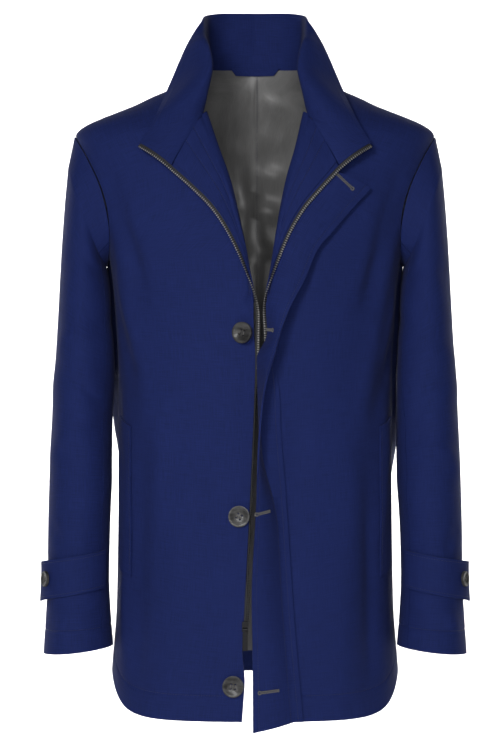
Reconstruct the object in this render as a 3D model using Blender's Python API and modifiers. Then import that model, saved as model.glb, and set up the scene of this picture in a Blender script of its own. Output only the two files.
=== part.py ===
"""A car coat, filled out as it is worn, with nobody in it.

Metres, +Z up. The coat faces -Y and +X is the wearer's left. The origin is
the middle of the neck hole, level with the points where the shoulder seams
meet the collar. Every cloth piece is an open surface with a wall thickness.
"""
import bmesh
import bpy
import numpy as np
from mathutils import Matrix, Vector

# Sizes of the cloth
CLOTH = 0.0022
FACING = 0.0012
LINING = 0.0010
COLLAR_WALL = 0.0030
SEAM = 0.0003
RIGHT, LEFT = -1, 1
FRONT, BACK = -1, 1

# The body of the coat as level sections: half width, depth before and behind
BODY_COLUMNS = ("z", "half_width", "front", "back", "squareness")
BODY = np.array([
    (-0.880, 0.193, 0.137, 0.140, 2.35),
    (-0.800, 0.189, 0.136, 0.138, 2.35),
    (-0.700, 0.182, 0.134, 0.132, 2.30),
    (-0.550, 0.180, 0.131, 0.122, 2.30),
    (-0.420, 0.180, 0.133, 0.117, 2.30),
    (-0.300, 0.186, 0.134, 0.123, 2.35),
    (-0.240, 0.194, 0.131, 0.126, 2.40),
    (-0.170, 0.215, 0.120, 0.123, 2.40),
    (-0.120, 0.231, 0.107, 0.114, 2.40),
    (-0.090, 0.237, 0.096, 0.105, 2.35),
    (-0.045, 0.150, 0.069, 0.083, 2.20),
    (0.000, 0.066, 0.056, 0.066, 2.10),
    (0.030, 0.064, 0.054, 0.062, 2.10),
])

# Where the coat hangs in folds: angle round from the side seam, height, size
FOLD_COLUMNS = ("angle", "lean", "top", "bottom", "width", "depth")
FRONT_FOLDS = np.array([
    (0.62, 0.10, -0.13, -0.30, 0.10, -0.0040),
    (0.42, 0.34, -0.22, -0.46, 0.12, 0.0045),
    (0.66, 0.04, -0.50, -0.82, 0.10, -0.0030),
    (0.92, 0.12, -0.52, -0.84, 0.14, 0.0035),
    (1.32, 0.08, -0.40, -0.80, 0.12, -0.0045),
])
BACK_FOLDS = np.array([
    (0.28, 0.00, -0.258, -0.520, 0.13, 0.0150),
    (0.55, 0.12, -0.16, -0.36, 0.12, -0.0045),
    (0.40, 0.30, -0.24, -0.52, 0.12, 0.0045),
    (0.70, 0.06, -0.50, -0.82, 0.13, -0.0050),
    (1.05, 0.08, -0.46, -0.82, 0.13, 0.0055),
    (1.35, 0.05, -0.56, -0.82, 0.12, -0.0040),
])

# Hem: lowest in front, rising where the coat turns round the side
HEM_FRONT, HEM_BACK, HEM_SIDE = -0.845, -0.818, -0.792
HEM_TURN = 0.42
HEM_REACH = 0.16

# Armhole: an oval round the side line, wider behind than in front
PIT, SHOULDER_TIP = -0.250, -0.090
ARMHOLE_FRONT, ARMHOLE_BACK = 0.44, 0.48
ARMHOLE_ROOM = 0.0014

# Neck line: side of the neck, and its height at the back
NECK_SIDE = 0.0660
NECK_BACK = 0.0100
GORGE = -0.068

# Innermost line of each front: zip below, fold of the turned-out front above
OPENING_COLUMNS = ("z", "right", "left", "turn_right", "turn_left")
OPENING = np.array([
    (-0.860, -0.0162, 0.0415, 0.00, 0.00),
    (-0.761, -0.0092, 0.0330, 0.00, 0.00),
    (-0.691, -0.0054, 0.0273, 0.00, 0.00),
    (-0.539, 0.0022, 0.0172, 0.00, 0.00),
    (-0.430, 0.0066, 0.0112, 0.00, 0.00),
    (-0.385, 0.0078, 0.0098, 0.00, 0.00),
    (-0.335, 0.0034, 0.0126, 0.00, 0.10),
    (-0.305, -0.0030, 0.0152, 1.30, 1.30),
    (-0.260, -0.0092, 0.0212, 2.60, 2.60),
    (-0.205, -0.0195, 0.0290, np.pi, np.pi),
    (-0.157, -0.0305, 0.0380, np.pi, np.pi),
    (-0.117, -0.0440, 0.0490, np.pi, np.pi),
    (-0.068, -0.0600, 0.0600, np.pi, np.pi),
])
FOLD_RADIUS, FOLD_HANDLE, FOLD_RISE, LAPEL_SLACK = 0.0050, 0.0067, 0.0070, 0.0200
EDGE_STRIP = 0.0140
ZIP_WIDTH = 0.0066
ZIP_WALL, ZIP_GAP, ZIP_TWIST = 0.0024, 0.0012, -0.287

# Turned-out front: its free edge over the chest, and how far it stands off
LAPEL_COLUMNS = ("z", "edge_out", "edge_z", "lift")
LAPEL = np.array([
    (-0.311, 0.0060, -0.315, 0.0120),
    (-0.260, 0.0180, -0.268, 0.0125),
    (-0.205, 0.0345, -0.228, 0.0135),
    (-0.157, 0.0550, -0.194, 0.0150),
    (-0.117, 0.0760, -0.170, 0.0150),
    (-0.068, 0.1030, -0.143, 0.0145),
])
LAPEL_BLEND = (-0.370, -0.285)

# Collar from the middle of the back round to the front end
COLLAR_COLUMNS = ("station", "roll_x", "roll_y", "roll_z", "top_x", "top_y", "top_z")
COLLAR = np.array([
    (0.00, 0.0000, 0.0710, 0.0490, 0.0000, 0.0760, 0.0875),
    (0.13, 0.0370, 0.0610, 0.0480, 0.0385, 0.0650, 0.0860),
    (0.26, 0.0630, 0.0300, 0.0400, 0.0650, 0.0330, 0.0780),
    (0.38, 0.0655, -0.0090, 0.0385, 0.0700, -0.0040, 0.0650),
    (0.50, 0.0640, -0.0400, 0.0330, 0.0890, -0.0280, 0.0280),
    (0.62, 0.0605, -0.0670, 0.0010, 0.1110, -0.0490, -0.0270),
    (0.76, 0.0840, -0.0960, -0.0560, 0.1275, -0.0890, -0.0720),
    (1.00, 0.1260, -0.1185, -0.1230, 0.1475, -0.1055, -0.1090),
])

# Stations where the collar's base passes the neck point and the start of the gorge
NECK_POINT, GORGE_START = 0.38, 0.70
COLLAR_SEAM, BACK_SEAM = 0.0026, 0.0006

# Sleeves: outer and inner side of each section, its depth, and how far it hangs forward
SLEEVE_COLUMNS = ("station", "outer", "outer_z", "inner", "inner_z", "depth", "forward")
SLEEVE = np.array([
    (0.06, 0.2470, -0.130, 0.2005, -0.262, 0.0640, -0.002),
    (0.14, 0.2520, -0.185, 0.1980, -0.287, 0.0640, -0.002),
    (0.23, 0.2560, -0.245, 0.1950, -0.318, 0.0625, 0.000),
    (0.35, 0.2600, -0.325, 0.1915, -0.368, 0.0605, 0.003),
    (0.50, 0.2655, -0.425, 0.1900, -0.448, 0.0580, 0.008),
    (0.65, 0.2700, -0.525, 0.1905, -0.533, 0.0550, 0.016),
    (0.79, 0.2715, -0.625, 0.1925, -0.625, 0.0505, 0.027),
    (0.86, 0.2710, -0.670, 0.1930, -0.670, 0.0490, 0.032),
    (0.93, 0.2730, -0.720, 0.1905, -0.716, 0.0505, 0.039),
    (1.00, 0.2755, -0.768, 0.1865, -0.758, 0.0530, 0.046),
])
SLEEVE_FOLD_COLUMNS = ("station", "angle", "width", "spread", "depth")
SLEEVE_FOLDS = np.array([
    (0.30, 0.9, 0.030, 0.8, -0.0030),
    (0.47, 2.2, 0.035, 0.9, 0.0030),
    (0.56, 1.2, 0.030, 0.8, -0.0035),
    (0.70, 0.8, 0.030, 0.7, 0.0025),
    (0.45, -1.3, 0.035, 0.9, -0.0035),
    (0.60, -1.7, 0.035, 0.8, 0.0030),
])
TOP_SLEEVE = (0.70, 5.40)
SLEEVE_SEAM = 0.010

# Strap round the front of each sleeve, from its seam to the button behind
STRAP_FROM, STRAP_TO = 0.55, 3.55
STRAP_MIDDLE, STRAP_HALF = 0.8405, 0.0375
STRAP_SLANT = 0.0107
STRAP_WALL = 0.0024
STRAP_STAND = 0.0055
STRAP_ROOM = 0.0008
STRAP_OVER = CLOTH / 2 + SEAM + STRAP_WALL / 2 + STRAP_ROOM

# Fly: a flap over the zip, sewn beside it; where its free edge lies and how far that stands off
FLY_COLUMNS = ("z", "edge_x", "edge_z", "stand")
FLY = np.array([
    (-0.850, -0.0028, -0.863, 0.0100),
    (-0.761, -0.0035, -0.760, 0.0170),
    (-0.691, -0.0045, -0.689, 0.0220),
    (-0.565, 0.0015, -0.570, 0.0290),
    (-0.500, 0.0058, -0.495, 0.0320),
    (-0.430, 0.0132, -0.420, 0.0340),
    (-0.385, 0.0250, -0.378, 0.0330),
    (-0.350, 0.0330, -0.349, 0.0310),
    (-0.311, 0.0455, -0.317, 0.0260),
    (-0.260, 0.0620, -0.286, 0.0190),
    (-0.205, 0.0780, -0.248, 0.0140),
    (-0.157, 0.1020, -0.219, 0.0115),
    (-0.117, 0.1275, -0.189, 0.0100),
    (-0.098, 0.1425, -0.173, 0.0095),
    (-0.079, 0.1475, -0.167, 0.0095),
])
FLY_SEAM, FLY_INSET = 0.0125, 0.0040
FLY_BULGE, FLY_ROOM, FLY_TOP_ROW = 0.0050, 0.0008, 0.885

# Pocket welts near the side seams
WELT_ANGLES = (0.24, 0.52)
WELT_SPAN = (-0.655, -0.460)
WELT_WALL, WELT_ROOM = 0.0018, 0.0005

# Facing inside the turned-out fronts, lining and hanger loop inside the back
FACING_FOOT, FACING_EDGE, FACING_ROOM = 0.42, 0.980, 0.0005
LINING_ROOM = 0.0003
LOOP_HALF, LOOP_FOOT, LOOP_HEIGHT, LOOP_WALL, LOOP_ROOM = 0.033, -0.004, 0.009, 0.0014, 0.0006

# Buttons
BUTTON_RADIUS, BUTTON_THICK = 0.0135, 0.0042
SLEEVE_BUTTON_RADIUS = 0.0100
BUTTON_ROOM = 0.0003
BUTTON_STEPS = 18
FRONT_BUTTONS = ((-0.0155, -0.352), (-0.0205, -0.585), (-0.0280, -0.800))
SLEEVE_BUTTON_ANGLE = 2.55

# Zip slider and its pull tab at the foot of the right tape
ZIP_FOOT = -0.738
SLIDER_HEIGHT, SLIDER_WIDTH, SLIDER_DEPTH = 0.0130, 0.0076, 0.0030
SLIDER_TOP, SLIDER_ROOM = -0.7180, 0.0006
EAR_WIDTH, PIN_RADIUS, EAR_REACH = 0.0012, 0.0008, 0.0058
PULL_LENGTH, PULL_WIDTH, PULL_THICK = 0.0270, 0.0066, 0.0014
PULL_EYE, PULL_HOLE, PULL_NECK = 0.0022, 0.0012, 0.0048

NAVY = ((0.0125, 0.0195, 0.0890), 0.72, 0.0)
GREY_SATIN = ((0.0560, 0.0560, 0.0580), 0.38, 0.0)
ZIP_GREY = ((0.0750, 0.0750, 0.0800), 0.60, 0.0)
HORN = ((0.0420, 0.0420, 0.0440), 0.28, 0.0)
STEEL = ((0.5500, 0.5500, 0.5700), 0.30, 1.0)


def along(table, columns, name, at):
    """A named column read smoothly, without overshoot, along the table's first column."""
    knots = table[:, 0]
    values = table[:, columns.index(name)]
    gap = np.diff(knots)
    slope = np.diff(values) / gap
    tangent = np.empty_like(values)
    tangent[0], tangent[-1] = slope[0], slope[-1]
    same = slope[:-1] * slope[1:] > 0
    before, after = 2 * gap[1:] + gap[:-1], gap[1:] + 2 * gap[:-1]
    with np.errstate(divide="ignore", invalid="ignore"):
        mean = (before + after) / (before / slope[:-1] + after / slope[1:])
    tangent[1:-1] = np.where(same, mean, 0.0)
    at = np.clip(np.asarray(at, float), knots[0], knots[-1])
    cell = np.clip(np.searchsorted(knots, at, side="right") - 1, 0, len(knots) - 2)
    span = gap[cell]
    t = (at - knots[cell]) / span
    return ((2 * t ** 3 - 3 * t ** 2 + 1) * values[cell] + (t ** 3 - 2 * t ** 2 + t) * span * tangent[cell]
            + (3 * t ** 2 - 2 * t ** 3) * values[cell + 1] + (t ** 3 - t ** 2) * span * tangent[cell + 1])


def ease(low, high, at):
    """Smooth step from 0 at low to 1 at high."""
    t = np.clip((np.asarray(at, float) - low) / (high - low), 0.0, 1.0)
    return t * t * (3 - 2 * t)


def unit(vectors):
    return vectors / np.linalg.norm(vectors, axis=-1, keepdims=True)


def power(value, exponent):
    return np.sign(value) * np.abs(value) ** exponent


def section(side, face, angle, z):
    """Point on the plain body form: angle 0 is the side line, a quarter turn is the middle."""
    shape = 2.0 / along(BODY, BODY_COLUMNS, "squareness", z)
    depth = along(BODY, BODY_COLUMNS, "front" if face == FRONT else "back", z)
    x = side * along(BODY, BODY_COLUMNS, "half_width", z) * power(np.cos(angle), shape)
    y = face * depth * power(np.sin(angle), shape)
    return np.stack(np.broadcast_arrays(x, y, z), axis=-1)


def normal(side, face, angle, z):
    """Outward direction of the plain body form."""
    step_angle, step_z = 0.02, 0.002
    across = section(side, face, angle + step_angle, z) - section(side, face, angle - step_angle, z)
    upward = section(side, face, angle, z + step_z) - section(side, face, angle, z - step_z)
    return unit(np.cross(across, upward)) * side * face


def drape(face, angle, z):
    """Depth of the hanging folds at a place on the body."""
    total = np.zeros(np.broadcast(angle, z).shape)
    for middle, lean, top, bottom, width, depth in (FRONT_FOLDS if face == FRONT else BACK_FOLDS):
        down = (top - z) / (top - bottom)
        fade = ease(-0.15, 0.35, down) * (1 - ease(0.75, 1.2, down))
        total = total + depth * fade * np.exp(-((angle - middle - lean * down) / width) ** 2)
    return total * ease(0.0, 0.25, angle)


def form(side, face, angle, z, lift=0.0):
    """Point on the draped body, moved out by lift."""
    out = drape(face, angle, z) + lift
    return section(side, face, angle, z) + np.asarray(out)[..., None] * normal(side, face, angle, z)


def angle_at(out, z):
    """Angle of the front form at a distance out from the middle."""
    ratio = np.clip(out / along(BODY, BODY_COLUMNS, "half_width", z), -1.0, 1.0)
    return np.arccos(power(ratio, along(BODY, BODY_COLUMNS, "squareness", z) / 2))


def hem(face, angle):
    low = HEM_FRONT if face == FRONT else HEM_BACK
    return low + (HEM_SIDE - low) * np.exp(-(angle / HEM_TURN) ** 2)


def armhole(face, turn, room=0.0):
    """Angle and height on the armhole oval: turn 0 is the pit, pi the shoulder tip."""
    wide = (ARMHOLE_FRONT if face == FRONT else ARMHOLE_BACK) * np.sin(turn) + room / 0.15
    middle, half = (PIT + SHOULDER_TIP) / 2, (SHOULDER_TIP - PIT) / 2 + room
    return wide, middle - half * np.cos(turn)


# Rows of a panel between hem 0 and shoulder 1: waist, pit, start of the gorge
WAIST_ROW, PIT_ROW, GORGE_ROW = 0.40, 0.62, 0.90
NECK_SEAM = 4.0


def seam_angle(face, z):
    """Angle that leaves half a seam's gap beside the side line."""
    depth = along(BODY, BODY_COLUMNS, "front" if face == FRONT else "back", z)
    return (0.6 * SEAM / depth) ** (along(BODY, BODY_COLUMNS, "squareness", z) / 2)


def outer_edge(face, row):
    """Angle and height of a panel's outer side: side seam, then armhole up to the shoulder tip."""
    turn = np.pi * np.clip((row - PIT_ROW) / (1 - PIT_ROW), 0.0, 1.0)
    angle, z = armhole(face, turn, ARMHOLE_ROOM)
    pit = armhole(face, 0.0, ARMHOLE_ROOM)[1]
    z = np.where(row < PIT_ROW, HEM_SIDE + (pit - HEM_SIDE) * row / PIT_ROW, z)
    angle = np.where(row < PIT_ROW, 0.0, angle) * (row < 1.0)
    return np.maximum(angle, seam_angle(face, z)), z


def reach(turn):
    """How far the turned edge comes inwards of the line where it starts to turn."""
    flat = EDGE_STRIP + ZIP_WIDTH + ZIP_GAP
    folded = FOLD_RADIUS + CLOTH / 2 + SEAM + FACING
    swing = FOLD_RADIUS * np.sin(turn) + flat * np.cos(turn) + FACING * np.sin(turn)
    return np.where(turn > np.pi / 2, folded, np.maximum(swing, folded))


def opening(side, name, z):
    """Column of the opening table for one side of the coat."""
    return along(OPENING, OPENING_COLUMNS, name + ("right" if side == RIGHT else "left"), z)


def inner_edge(side, row):
    """Angle and height of a front's inner side: the edge, the fold of the turned-out front, then the
    neck line up to the shoulder seam."""
    z = np.interp(row, [0.0, PIT_ROW, GORGE_ROW, 1.0], [HEM_FRONT, -0.250, GORGE, 0.0])
    out = side * opening(side, "", z) + reach(opening(side, "turn_", z))
    angle = angle_at(out, z)
    up = np.clip((row - GORGE_ROW) / (1 - GORGE_ROW), 0.0, 1.0)
    neck = angle_at(out, np.minimum(z, GORGE)) * (1 - up)
    out = out + (NECK_SIDE - out) * up
    wide = out / np.cos(neck) ** (2 / along(BODY, BODY_COLUMNS, "squareness", z))
    heights = np.linspace(0.0, GORGE - 0.01, 60)
    neck_z = np.interp(wide, along(BODY, BODY_COLUMNS, "half_width", heights), heights)
    above = row > GORGE_ROW
    angle = np.where(above, neck, angle)
    z = np.where(above, neck_z, z)
    return np.maximum(angle, NECK_SEAM * seam_angle(FRONT, z)), z


def panel(face, outer, inner, across):
    """Angle and height of a panel's points between its outer and its inner side."""
    angle = outer[0][:, None] + (inner[0] - outer[0])[:, None] * across
    z = outer[1][:, None] + (inner[1] - outer[1])[:, None] * across
    level = HEM_SIDE + ((HEM_FRONT if face == FRONT else HEM_BACK) - HEM_SIDE) * across
    return angle, z + (hem(face, angle) - level) * (1 - ease(0.0, HEM_REACH, z - level))


def front_body(side, rows, across, lift=0.0):
    """Front on the body form: across 0 is the side seam and armhole, 1 the inner side."""
    angle, z = panel(FRONT, outer_edge(FRONT, rows), inner_edge(side, rows), across)
    return form(side, FRONT, angle, z, np.full(z.shape, lift))


def turned_edge(side, rows, steps):
    """Front past its inner side, as a curve in each row: flat below, turned out over the chest above.
    Steps 0 to 1 run from the inner side to the zip edge."""
    start = front_body(side, rows, np.array([0.98, 1.0]))
    inward = unit(start[:, 1] - start[:, 0])
    start = start[:, 1]
    angle, z = inner_edge(side, rows)
    out = normal(side, FRONT, angle, z)
    turn = opening(side, "turn_", z)
    blend = ease(*LAPEL_BLEND, z)
    middle = side * 0.5 * (opening(RIGHT, "", z) + opening(LEFT, "", z))
    flat_out = side * opening(side, "", z) + ZIP_WIDTH + ZIP_GAP
    edge_out = flat_out + (middle + along(LAPEL, LAPEL_COLUMNS, "edge_out", z) - flat_out) * blend
    edge_z = z + (along(LAPEL, LAPEL_COLUMNS, "edge_z", z) - z) * blend
    edge_z = edge_z + (start[:, 2] - z) * (1 - blend)
    foot = angle_at(edge_out, edge_z)
    lift = along(LAPEL, LAPEL_COLUMNS, "lift", z) * blend - drape(FRONT, foot, edge_z) * blend
    edge = form(side, FRONT, foot, edge_z, lift)
    over = ((1 - np.cos(turn)) / 2)[:, None]
    handle = (1 - over) * np.linalg.norm(edge - start, axis=1)[:, None] / 3 + over * FOLD_HANDLE
    first = start + handle * inward
    flat = start + (edge - start) * 2 / 3
    rise = 2 * FOLD_RADIUS + FOLD_RISE * ease(GORGE - 0.13, GORGE - 0.03, z)[:, None]
    second = flat + (start + rise * out + FOLD_HANDLE * inward - flat) * over
    t = np.asarray(steps, float)[None, :, None]
    start, first, second, edge = (point[:, None] for point in (start, first, second, edge))
    curve = ((1 - t) ** 3 * start + 3 * t * (1 - t) ** 2 * first
             + 3 * t ** 2 * (1 - t) * second + t ** 3 * edge)
    chest = section(side, FRONT, angle_at(side * curve[..., 0], curve[..., 2]), curve[..., 2])[..., 1]
    clear = over * ease(0.3, 0.6, t[..., 0])
    curve[..., 1] = np.minimum(curve[..., 1], chest - 2 * FOLD_RADIUS * clear + LAPEL_SLACK * (1 - clear))
    return curve


def outward(side, grid):
    """Direction that a front's outer face looks at each point of its grid."""
    return -side * unit(np.cross(np.gradient(grid, axis=1), np.gradient(grid, axis=0)))


def over_edge(side, rows, distances, lift):
    """Strip along the zip edge at distances from it, positive beyond it, on the outer side by lift."""
    edge = turned_edge(side, rows, [0.9, 0.95, 1.0])
    onward = unit(edge[:, 2] - edge[:, 1])[:, None]
    raised = edge[:, 2] + lift * outward(side, edge)[:, 2]
    return raised[:, None] + np.atleast_2d(distances)[..., None] * onward


def back_half(side, rows, across, lift=0.0):
    """Half of the back, from the side seam and armhole to the middle and the back of the neck."""
    z = np.interp(rows, [0.0, PIT_ROW, GORGE_ROW, 1.0], [HEM_BACK, -0.250, NECK_BACK, 0.0])
    neck = np.clip((rows - GORGE_ROW) / (1 - GORGE_ROW), 0.0, 1.0)
    inner = np.maximum(np.pi / 2 * (1 - neck) ** 1.3, NECK_SEAM * seam_angle(BACK, z)), z
    angle, z = panel(BACK, outer_edge(BACK, rows), inner, across)
    return form(side, BACK, angle, z, np.full(z.shape, lift))


def collar_base(at):
    """Seam of the collar: back of the neck, neck line of the front, then the top of the lapel."""
    up = np.interp(at, [0.0, NECK_POINT, GORGE_START], [GORGE_ROW, 1.0, GORGE_ROW])
    behind = back_half(LEFT, up, np.array([1.0]))[:, 0]
    ahead = front_body(LEFT, np.maximum(up, GORGE_ROW), np.array([1.0]))[:, 0]
    steps = np.linspace(0.0, 1.0, 41)
    lapel = turned_edge(LEFT, np.array([GORGE_ROW - 0.01, GORGE_ROW]), steps)
    lapel = (lapel - (SEAM + FACING) / 2 * outward(LEFT, lapel))[1]
    step = np.clip((at - GORGE_START) / (1.0 - GORGE_START), 0.0, 1.0)
    gorge = np.stack([np.interp(step, steps, lapel[:, axis]) for axis in range(3)], axis=-1)
    at = at[:, None]
    return np.where(at < NECK_POINT, behind, np.where(at < GORGE_START, ahead, gorge))


def collar_sheet(stations, heights):
    """Collar from its base seam over its roll to its top edge, right end to left end."""
    side = np.where(stations < 0, RIGHT, LEFT)[:, None]
    at = np.abs(stations)
    roll, top = (np.stack([along(COLLAR, COLLAR_COLUMNS, f"{part}_{axis}", at) for axis in "xyz"], axis=-1)
                 for part in ("roll", "top"))
    base = collar_base(at)
    gap = COLLAR_SEAM * (1 + np.exp(-((at - GORGE_START - 0.06) / 0.07) ** 2))
    gap = np.where(at < NECK_POINT, BACK_SEAM + (gap - BACK_SEAM) * ease(0.24, NECK_POINT, at), gap)
    base = base + gap[:, None] * unit(roll - base)
    control = 2 * roll - 0.5 * (base + top)
    t = np.asarray(heights)[None, :, None]
    sheet = (1 - t) ** 2 * base[:, None] + 2 * t * (1 - t) * control[:, None] + t ** 2 * top[:, None]
    return sheet * np.stack([side, np.ones_like(side), np.ones_like(side)], axis=-1)


def sleeve_plain(side, stations, turns):
    """Sleeve surface: turn 0 faces the body, a quarter turn the front, half a turn the outside."""
    station, turn = np.meshgrid(stations, turns, indexing="ij")
    row = {name: along(SLEEVE, SLEEVE_COLUMNS, name, station) for name in SLEEVE_COLUMNS}
    swing = np.cos(turn)
    x = side * (row["inner"] * (1 + swing) + row["outer"] * (1 - swing)) / 2
    z = (row["inner_z"] * (1 + swing) + row["outer_z"] * (1 - swing)) / 2
    tube = np.stack((x, -row["depth"] * np.sin(turn) - row["forward"], z), axis=-1)
    face_angle, height = armhole(FRONT, turn)
    ahead = section(side, FRONT, np.abs(face_angle), height)
    face_angle, height = armhole(BACK, turn)
    behind = section(side, BACK, np.abs(face_angle), height)
    hole = np.where((np.sin(turn) >= 0)[..., None], ahead, behind)
    hole = hole + np.array([side * 0.0016, 0.0, 0.0])
    first = SLEEVE[0, 0]
    share = ease(-first, first, station) * 2 - 1
    return hole + (tube - hole) * np.where(station < first, share, 1.0)[..., None]


def sleeve_normal(side, stations, turns):
    small = 0.004
    along_turn = sleeve_plain(side, stations, turns + small) - sleeve_plain(side, stations, turns - small)
    low, high = np.maximum(stations - small, 0.0), np.minimum(stations + small, 1.0)
    along_arm = sleeve_plain(side, high, turns) - sleeve_plain(side, low, turns)
    return unit(np.cross(along_turn, along_arm)) * -side


def sleeve_sheet(side, stations, turns, lift=0.0):
    """Sleeve with its folds, moved out by lift."""
    station, turn = np.meshgrid(stations, turns, indexing="ij")
    out = np.zeros(station.shape) + lift
    for at, angle, width, spread, depth in SLEEVE_FOLDS:
        away = (turn - angle + np.pi) % (2 * np.pi) - np.pi
        out = out + depth * np.exp(-((station - at - 0.03 * away) / width) ** 2 - (away / spread) ** 2)
    return sleeve_plain(side, stations, turns) + out[..., None] * sleeve_normal(side, stations, turns)


def clear_scene():
    for item in list(bpy.data.objects):
        bpy.data.objects.remove(item, do_unlink=True)
    coat = bpy.data.collections.new("car_coat")
    bpy.context.scene.collection.children.link(coat)
    return coat


def finish(name, colour):
    """Principled material with a colour, roughness and metallic value."""
    material = bpy.data.materials.get(name) or bpy.data.materials.new(name)
    material.use_nodes = True
    shader = material.node_tree.nodes["Principled BSDF"]
    shader.inputs["Base Color"].default_value = (*colour[0], 1.0)
    shader.inputs["Roughness"].default_value = colour[1]
    shader.inputs["Metallic"].default_value = colour[2]
    return material


def place(collection, name, mesh, material):
    item = bpy.data.objects.new(name, mesh)
    mesh.materials.append(material)
    collection.objects.link(item)
    return item


def cloth(collection, name, patches, wall, material):
    """Open surface from grids of points that share their sides, with a wall."""
    shape = bmesh.new()
    for points in patches:
        rows, columns = points.shape[:2]
        grid = bmesh.ops.create_grid(shape, x_segments=columns - 1, y_segments=rows - 1, size=0.5)
        for vertex, point in zip(grid["verts"], points.reshape(-1, 3)):
            vertex.co = point
    bmesh.ops.remove_doubles(shape, verts=shape.verts, dist=1e-6)
    bmesh.ops.recalc_face_normals(shape, faces=shape.faces)
    mesh = bpy.data.meshes.new(name)
    shape.to_mesh(mesh)
    shape.free()
    mesh.shade_smooth()
    item = place(collection, name, mesh, material)
    solid = item.modifiers.new("wall", "SOLIDIFY")
    solid.thickness = wall
    solid.offset = 0.0
    solid.use_even_offset = True
    return item


def panel_rows(low, middle, high, neck):
    """Rows of a panel: up the skirt, the waist, the armhole, and closer together to the shoulder."""
    top = 1 - (1 - GORGE_ROW) * np.linspace(1.0, 0.0, neck + 1)[1:] ** 1.5
    return np.concatenate((np.linspace(0.0, WAIST_ROW, low + 1)[:-1],
                           np.linspace(WAIST_ROW, PIT_ROW, middle + 1)[:-1],
                           np.linspace(PIT_ROW, GORGE_ROW, high + 1), top))


FRONT_ROWS = panel_rows(7, 10, 8, 4)
LAPEL_ROWS = FRONT_ROWS[FRONT_ROWS < GORGE_ROW + 1e-6]
FOLD_STEPS = np.linspace(0.0, 1.0, 10)
FRONT_ACROSS = np.linspace(0.0, 1.0, 10) ** 1.1
BACK_ROWS = panel_rows(8, 5, 8, 4)
BACK_ACROSS = np.linspace(0.0, 1.0, 10)


def make_fronts(coat, navy):
    for side, name in ((RIGHT, "front_right"), (LEFT, "front_left")):
        body = front_body(side, FRONT_ROWS, FRONT_ACROSS)
        edge = turned_edge(side, LAPEL_ROWS, FOLD_STEPS)
        edge[:, 0] = body[:len(edge), -1]
        cloth(coat, name, [body, edge], CLOTH, navy)


def make_facings(coat, navy):
    """Inside of the turned-out fronts, from just inside the neck to the zip edge."""
    rows = LAPEL_ROWS[LAPEL_ROWS > FACING_FOOT]
    steps = np.append(FOLD_STEPS[1:-1], FACING_EDGE)
    for side, name in ((RIGHT, "facing_right"), (LEFT, "facing_left")):
        grid = np.concatenate((front_body(side, rows, FRONT_ACROSS[-3:]),
                               turned_edge(side, rows, steps)), axis=1)
        under = CLOTH / 2 + SEAM + FACING / 2 + FACING_ROOM
        cloth(coat, name, [grid - under * outward(side, grid)], FACING, navy)


def make_back(coat, navy, satin):
    halves = [back_half(side, BACK_ROWS, BACK_ACROSS) for side in (RIGHT, LEFT)]
    cloth(coat, "back", halves, CLOTH, navy)
    rows = BACK_ROWS[(BACK_ROWS > 0.02) & (BACK_ROWS < GORGE_ROW + 1e-6)]
    under = -(CLOTH / 2 + SEAM + LINING / 2 + LINING_ROOM)
    halves = [back_half(side, rows, BACK_ACROSS[3:], under) for side in (RIGHT, LEFT)]
    cloth(coat, "lining_back", halves, LINING, satin)


def make_hanger_loop(coat, navy):
    """Strip on the lining under the collar, wider at the top."""
    under = -(CLOTH + SEAM + LINING + LINING_ROOM + SEAM + LOOP_WALL / 2 + LOOP_ROOM)
    height = np.linspace(0.0, 1.0, 3)[:, None]
    across = np.linspace(-1.0, 1.0, 9)[None, :]
    x = across * (LOOP_HALF + 0.004 * height)
    z = np.broadcast_to(LOOP_FOOT + LOOP_HEIGHT * height, x.shape)
    angle = np.arccos(power(x / along(BODY, BODY_COLUMNS, "half_width", z),
                            along(BODY, BODY_COLUMNS, "squareness", z) / 2))
    cloth(coat, "hanger_loop", [form(LEFT, BACK, angle, z, np.full(z.shape, under))], LOOP_WALL, navy)


def make_collar(coat, navy):
    stations = np.linspace(-1.0, 1.0, 33)
    cloth(coat, "collar", [collar_sheet(stations, np.linspace(0.0, 1.0, 8))], COLLAR_WALL, navy)


def make_sleeves(coat, navy):
    stations = np.concatenate(([0.0, 0.03], np.linspace(0.06, 1.0, 16)))
    top = np.linspace(TOP_SLEEVE[0] + SLEEVE_SEAM, TOP_SLEEVE[1] - SLEEVE_SEAM, 14)
    under = np.linspace(TOP_SLEEVE[1] + SLEEVE_SEAM - 2 * np.pi, TOP_SLEEVE[0] - SLEEVE_SEAM, 6)
    for side, name in ((RIGHT, "right"), (LEFT, "left")):
        cloth(coat, f"sleeve_top_{name}", [sleeve_sheet(side, stations, top)], CLOTH, navy)
        cloth(coat, f"sleeve_under_{name}", [sleeve_sheet(side, stations, under)], CLOTH, navy)


def strap_middle(turn):
    """Station of the strap's middle line, lower towards its button."""
    return STRAP_MIDDLE + STRAP_SLANT * (turn - STRAP_FROM)


def strap_sheet(side, lift, columns, rows):
    """Strap round a sleeve, standing off towards its button."""
    turns = np.linspace(STRAP_FROM, STRAP_TO, columns)
    point = 1 - 0.5 * ease(STRAP_TO - 0.4, STRAP_TO, turns)
    stand = STRAP_STAND * np.exp(-((turns - 3.1) / 0.7) ** 2)
    sheets = []
    for turn, half, out in zip(turns, STRAP_HALF * point, stand):
        heights = strap_middle(turn) + np.linspace(-half, half, rows)
        sheets.append(sleeve_sheet(side, heights, np.array([turn]), lift + out)[:, 0])
    return np.stack(sheets, axis=1)


def make_straps(coat, navy):
    for side, name in ((RIGHT, "right"), (LEFT, "left")):
        cloth(coat, f"sleeve_strap_{name}", [strap_sheet(side, STRAP_OVER, 13, 5)], STRAP_WALL, navy)


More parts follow.
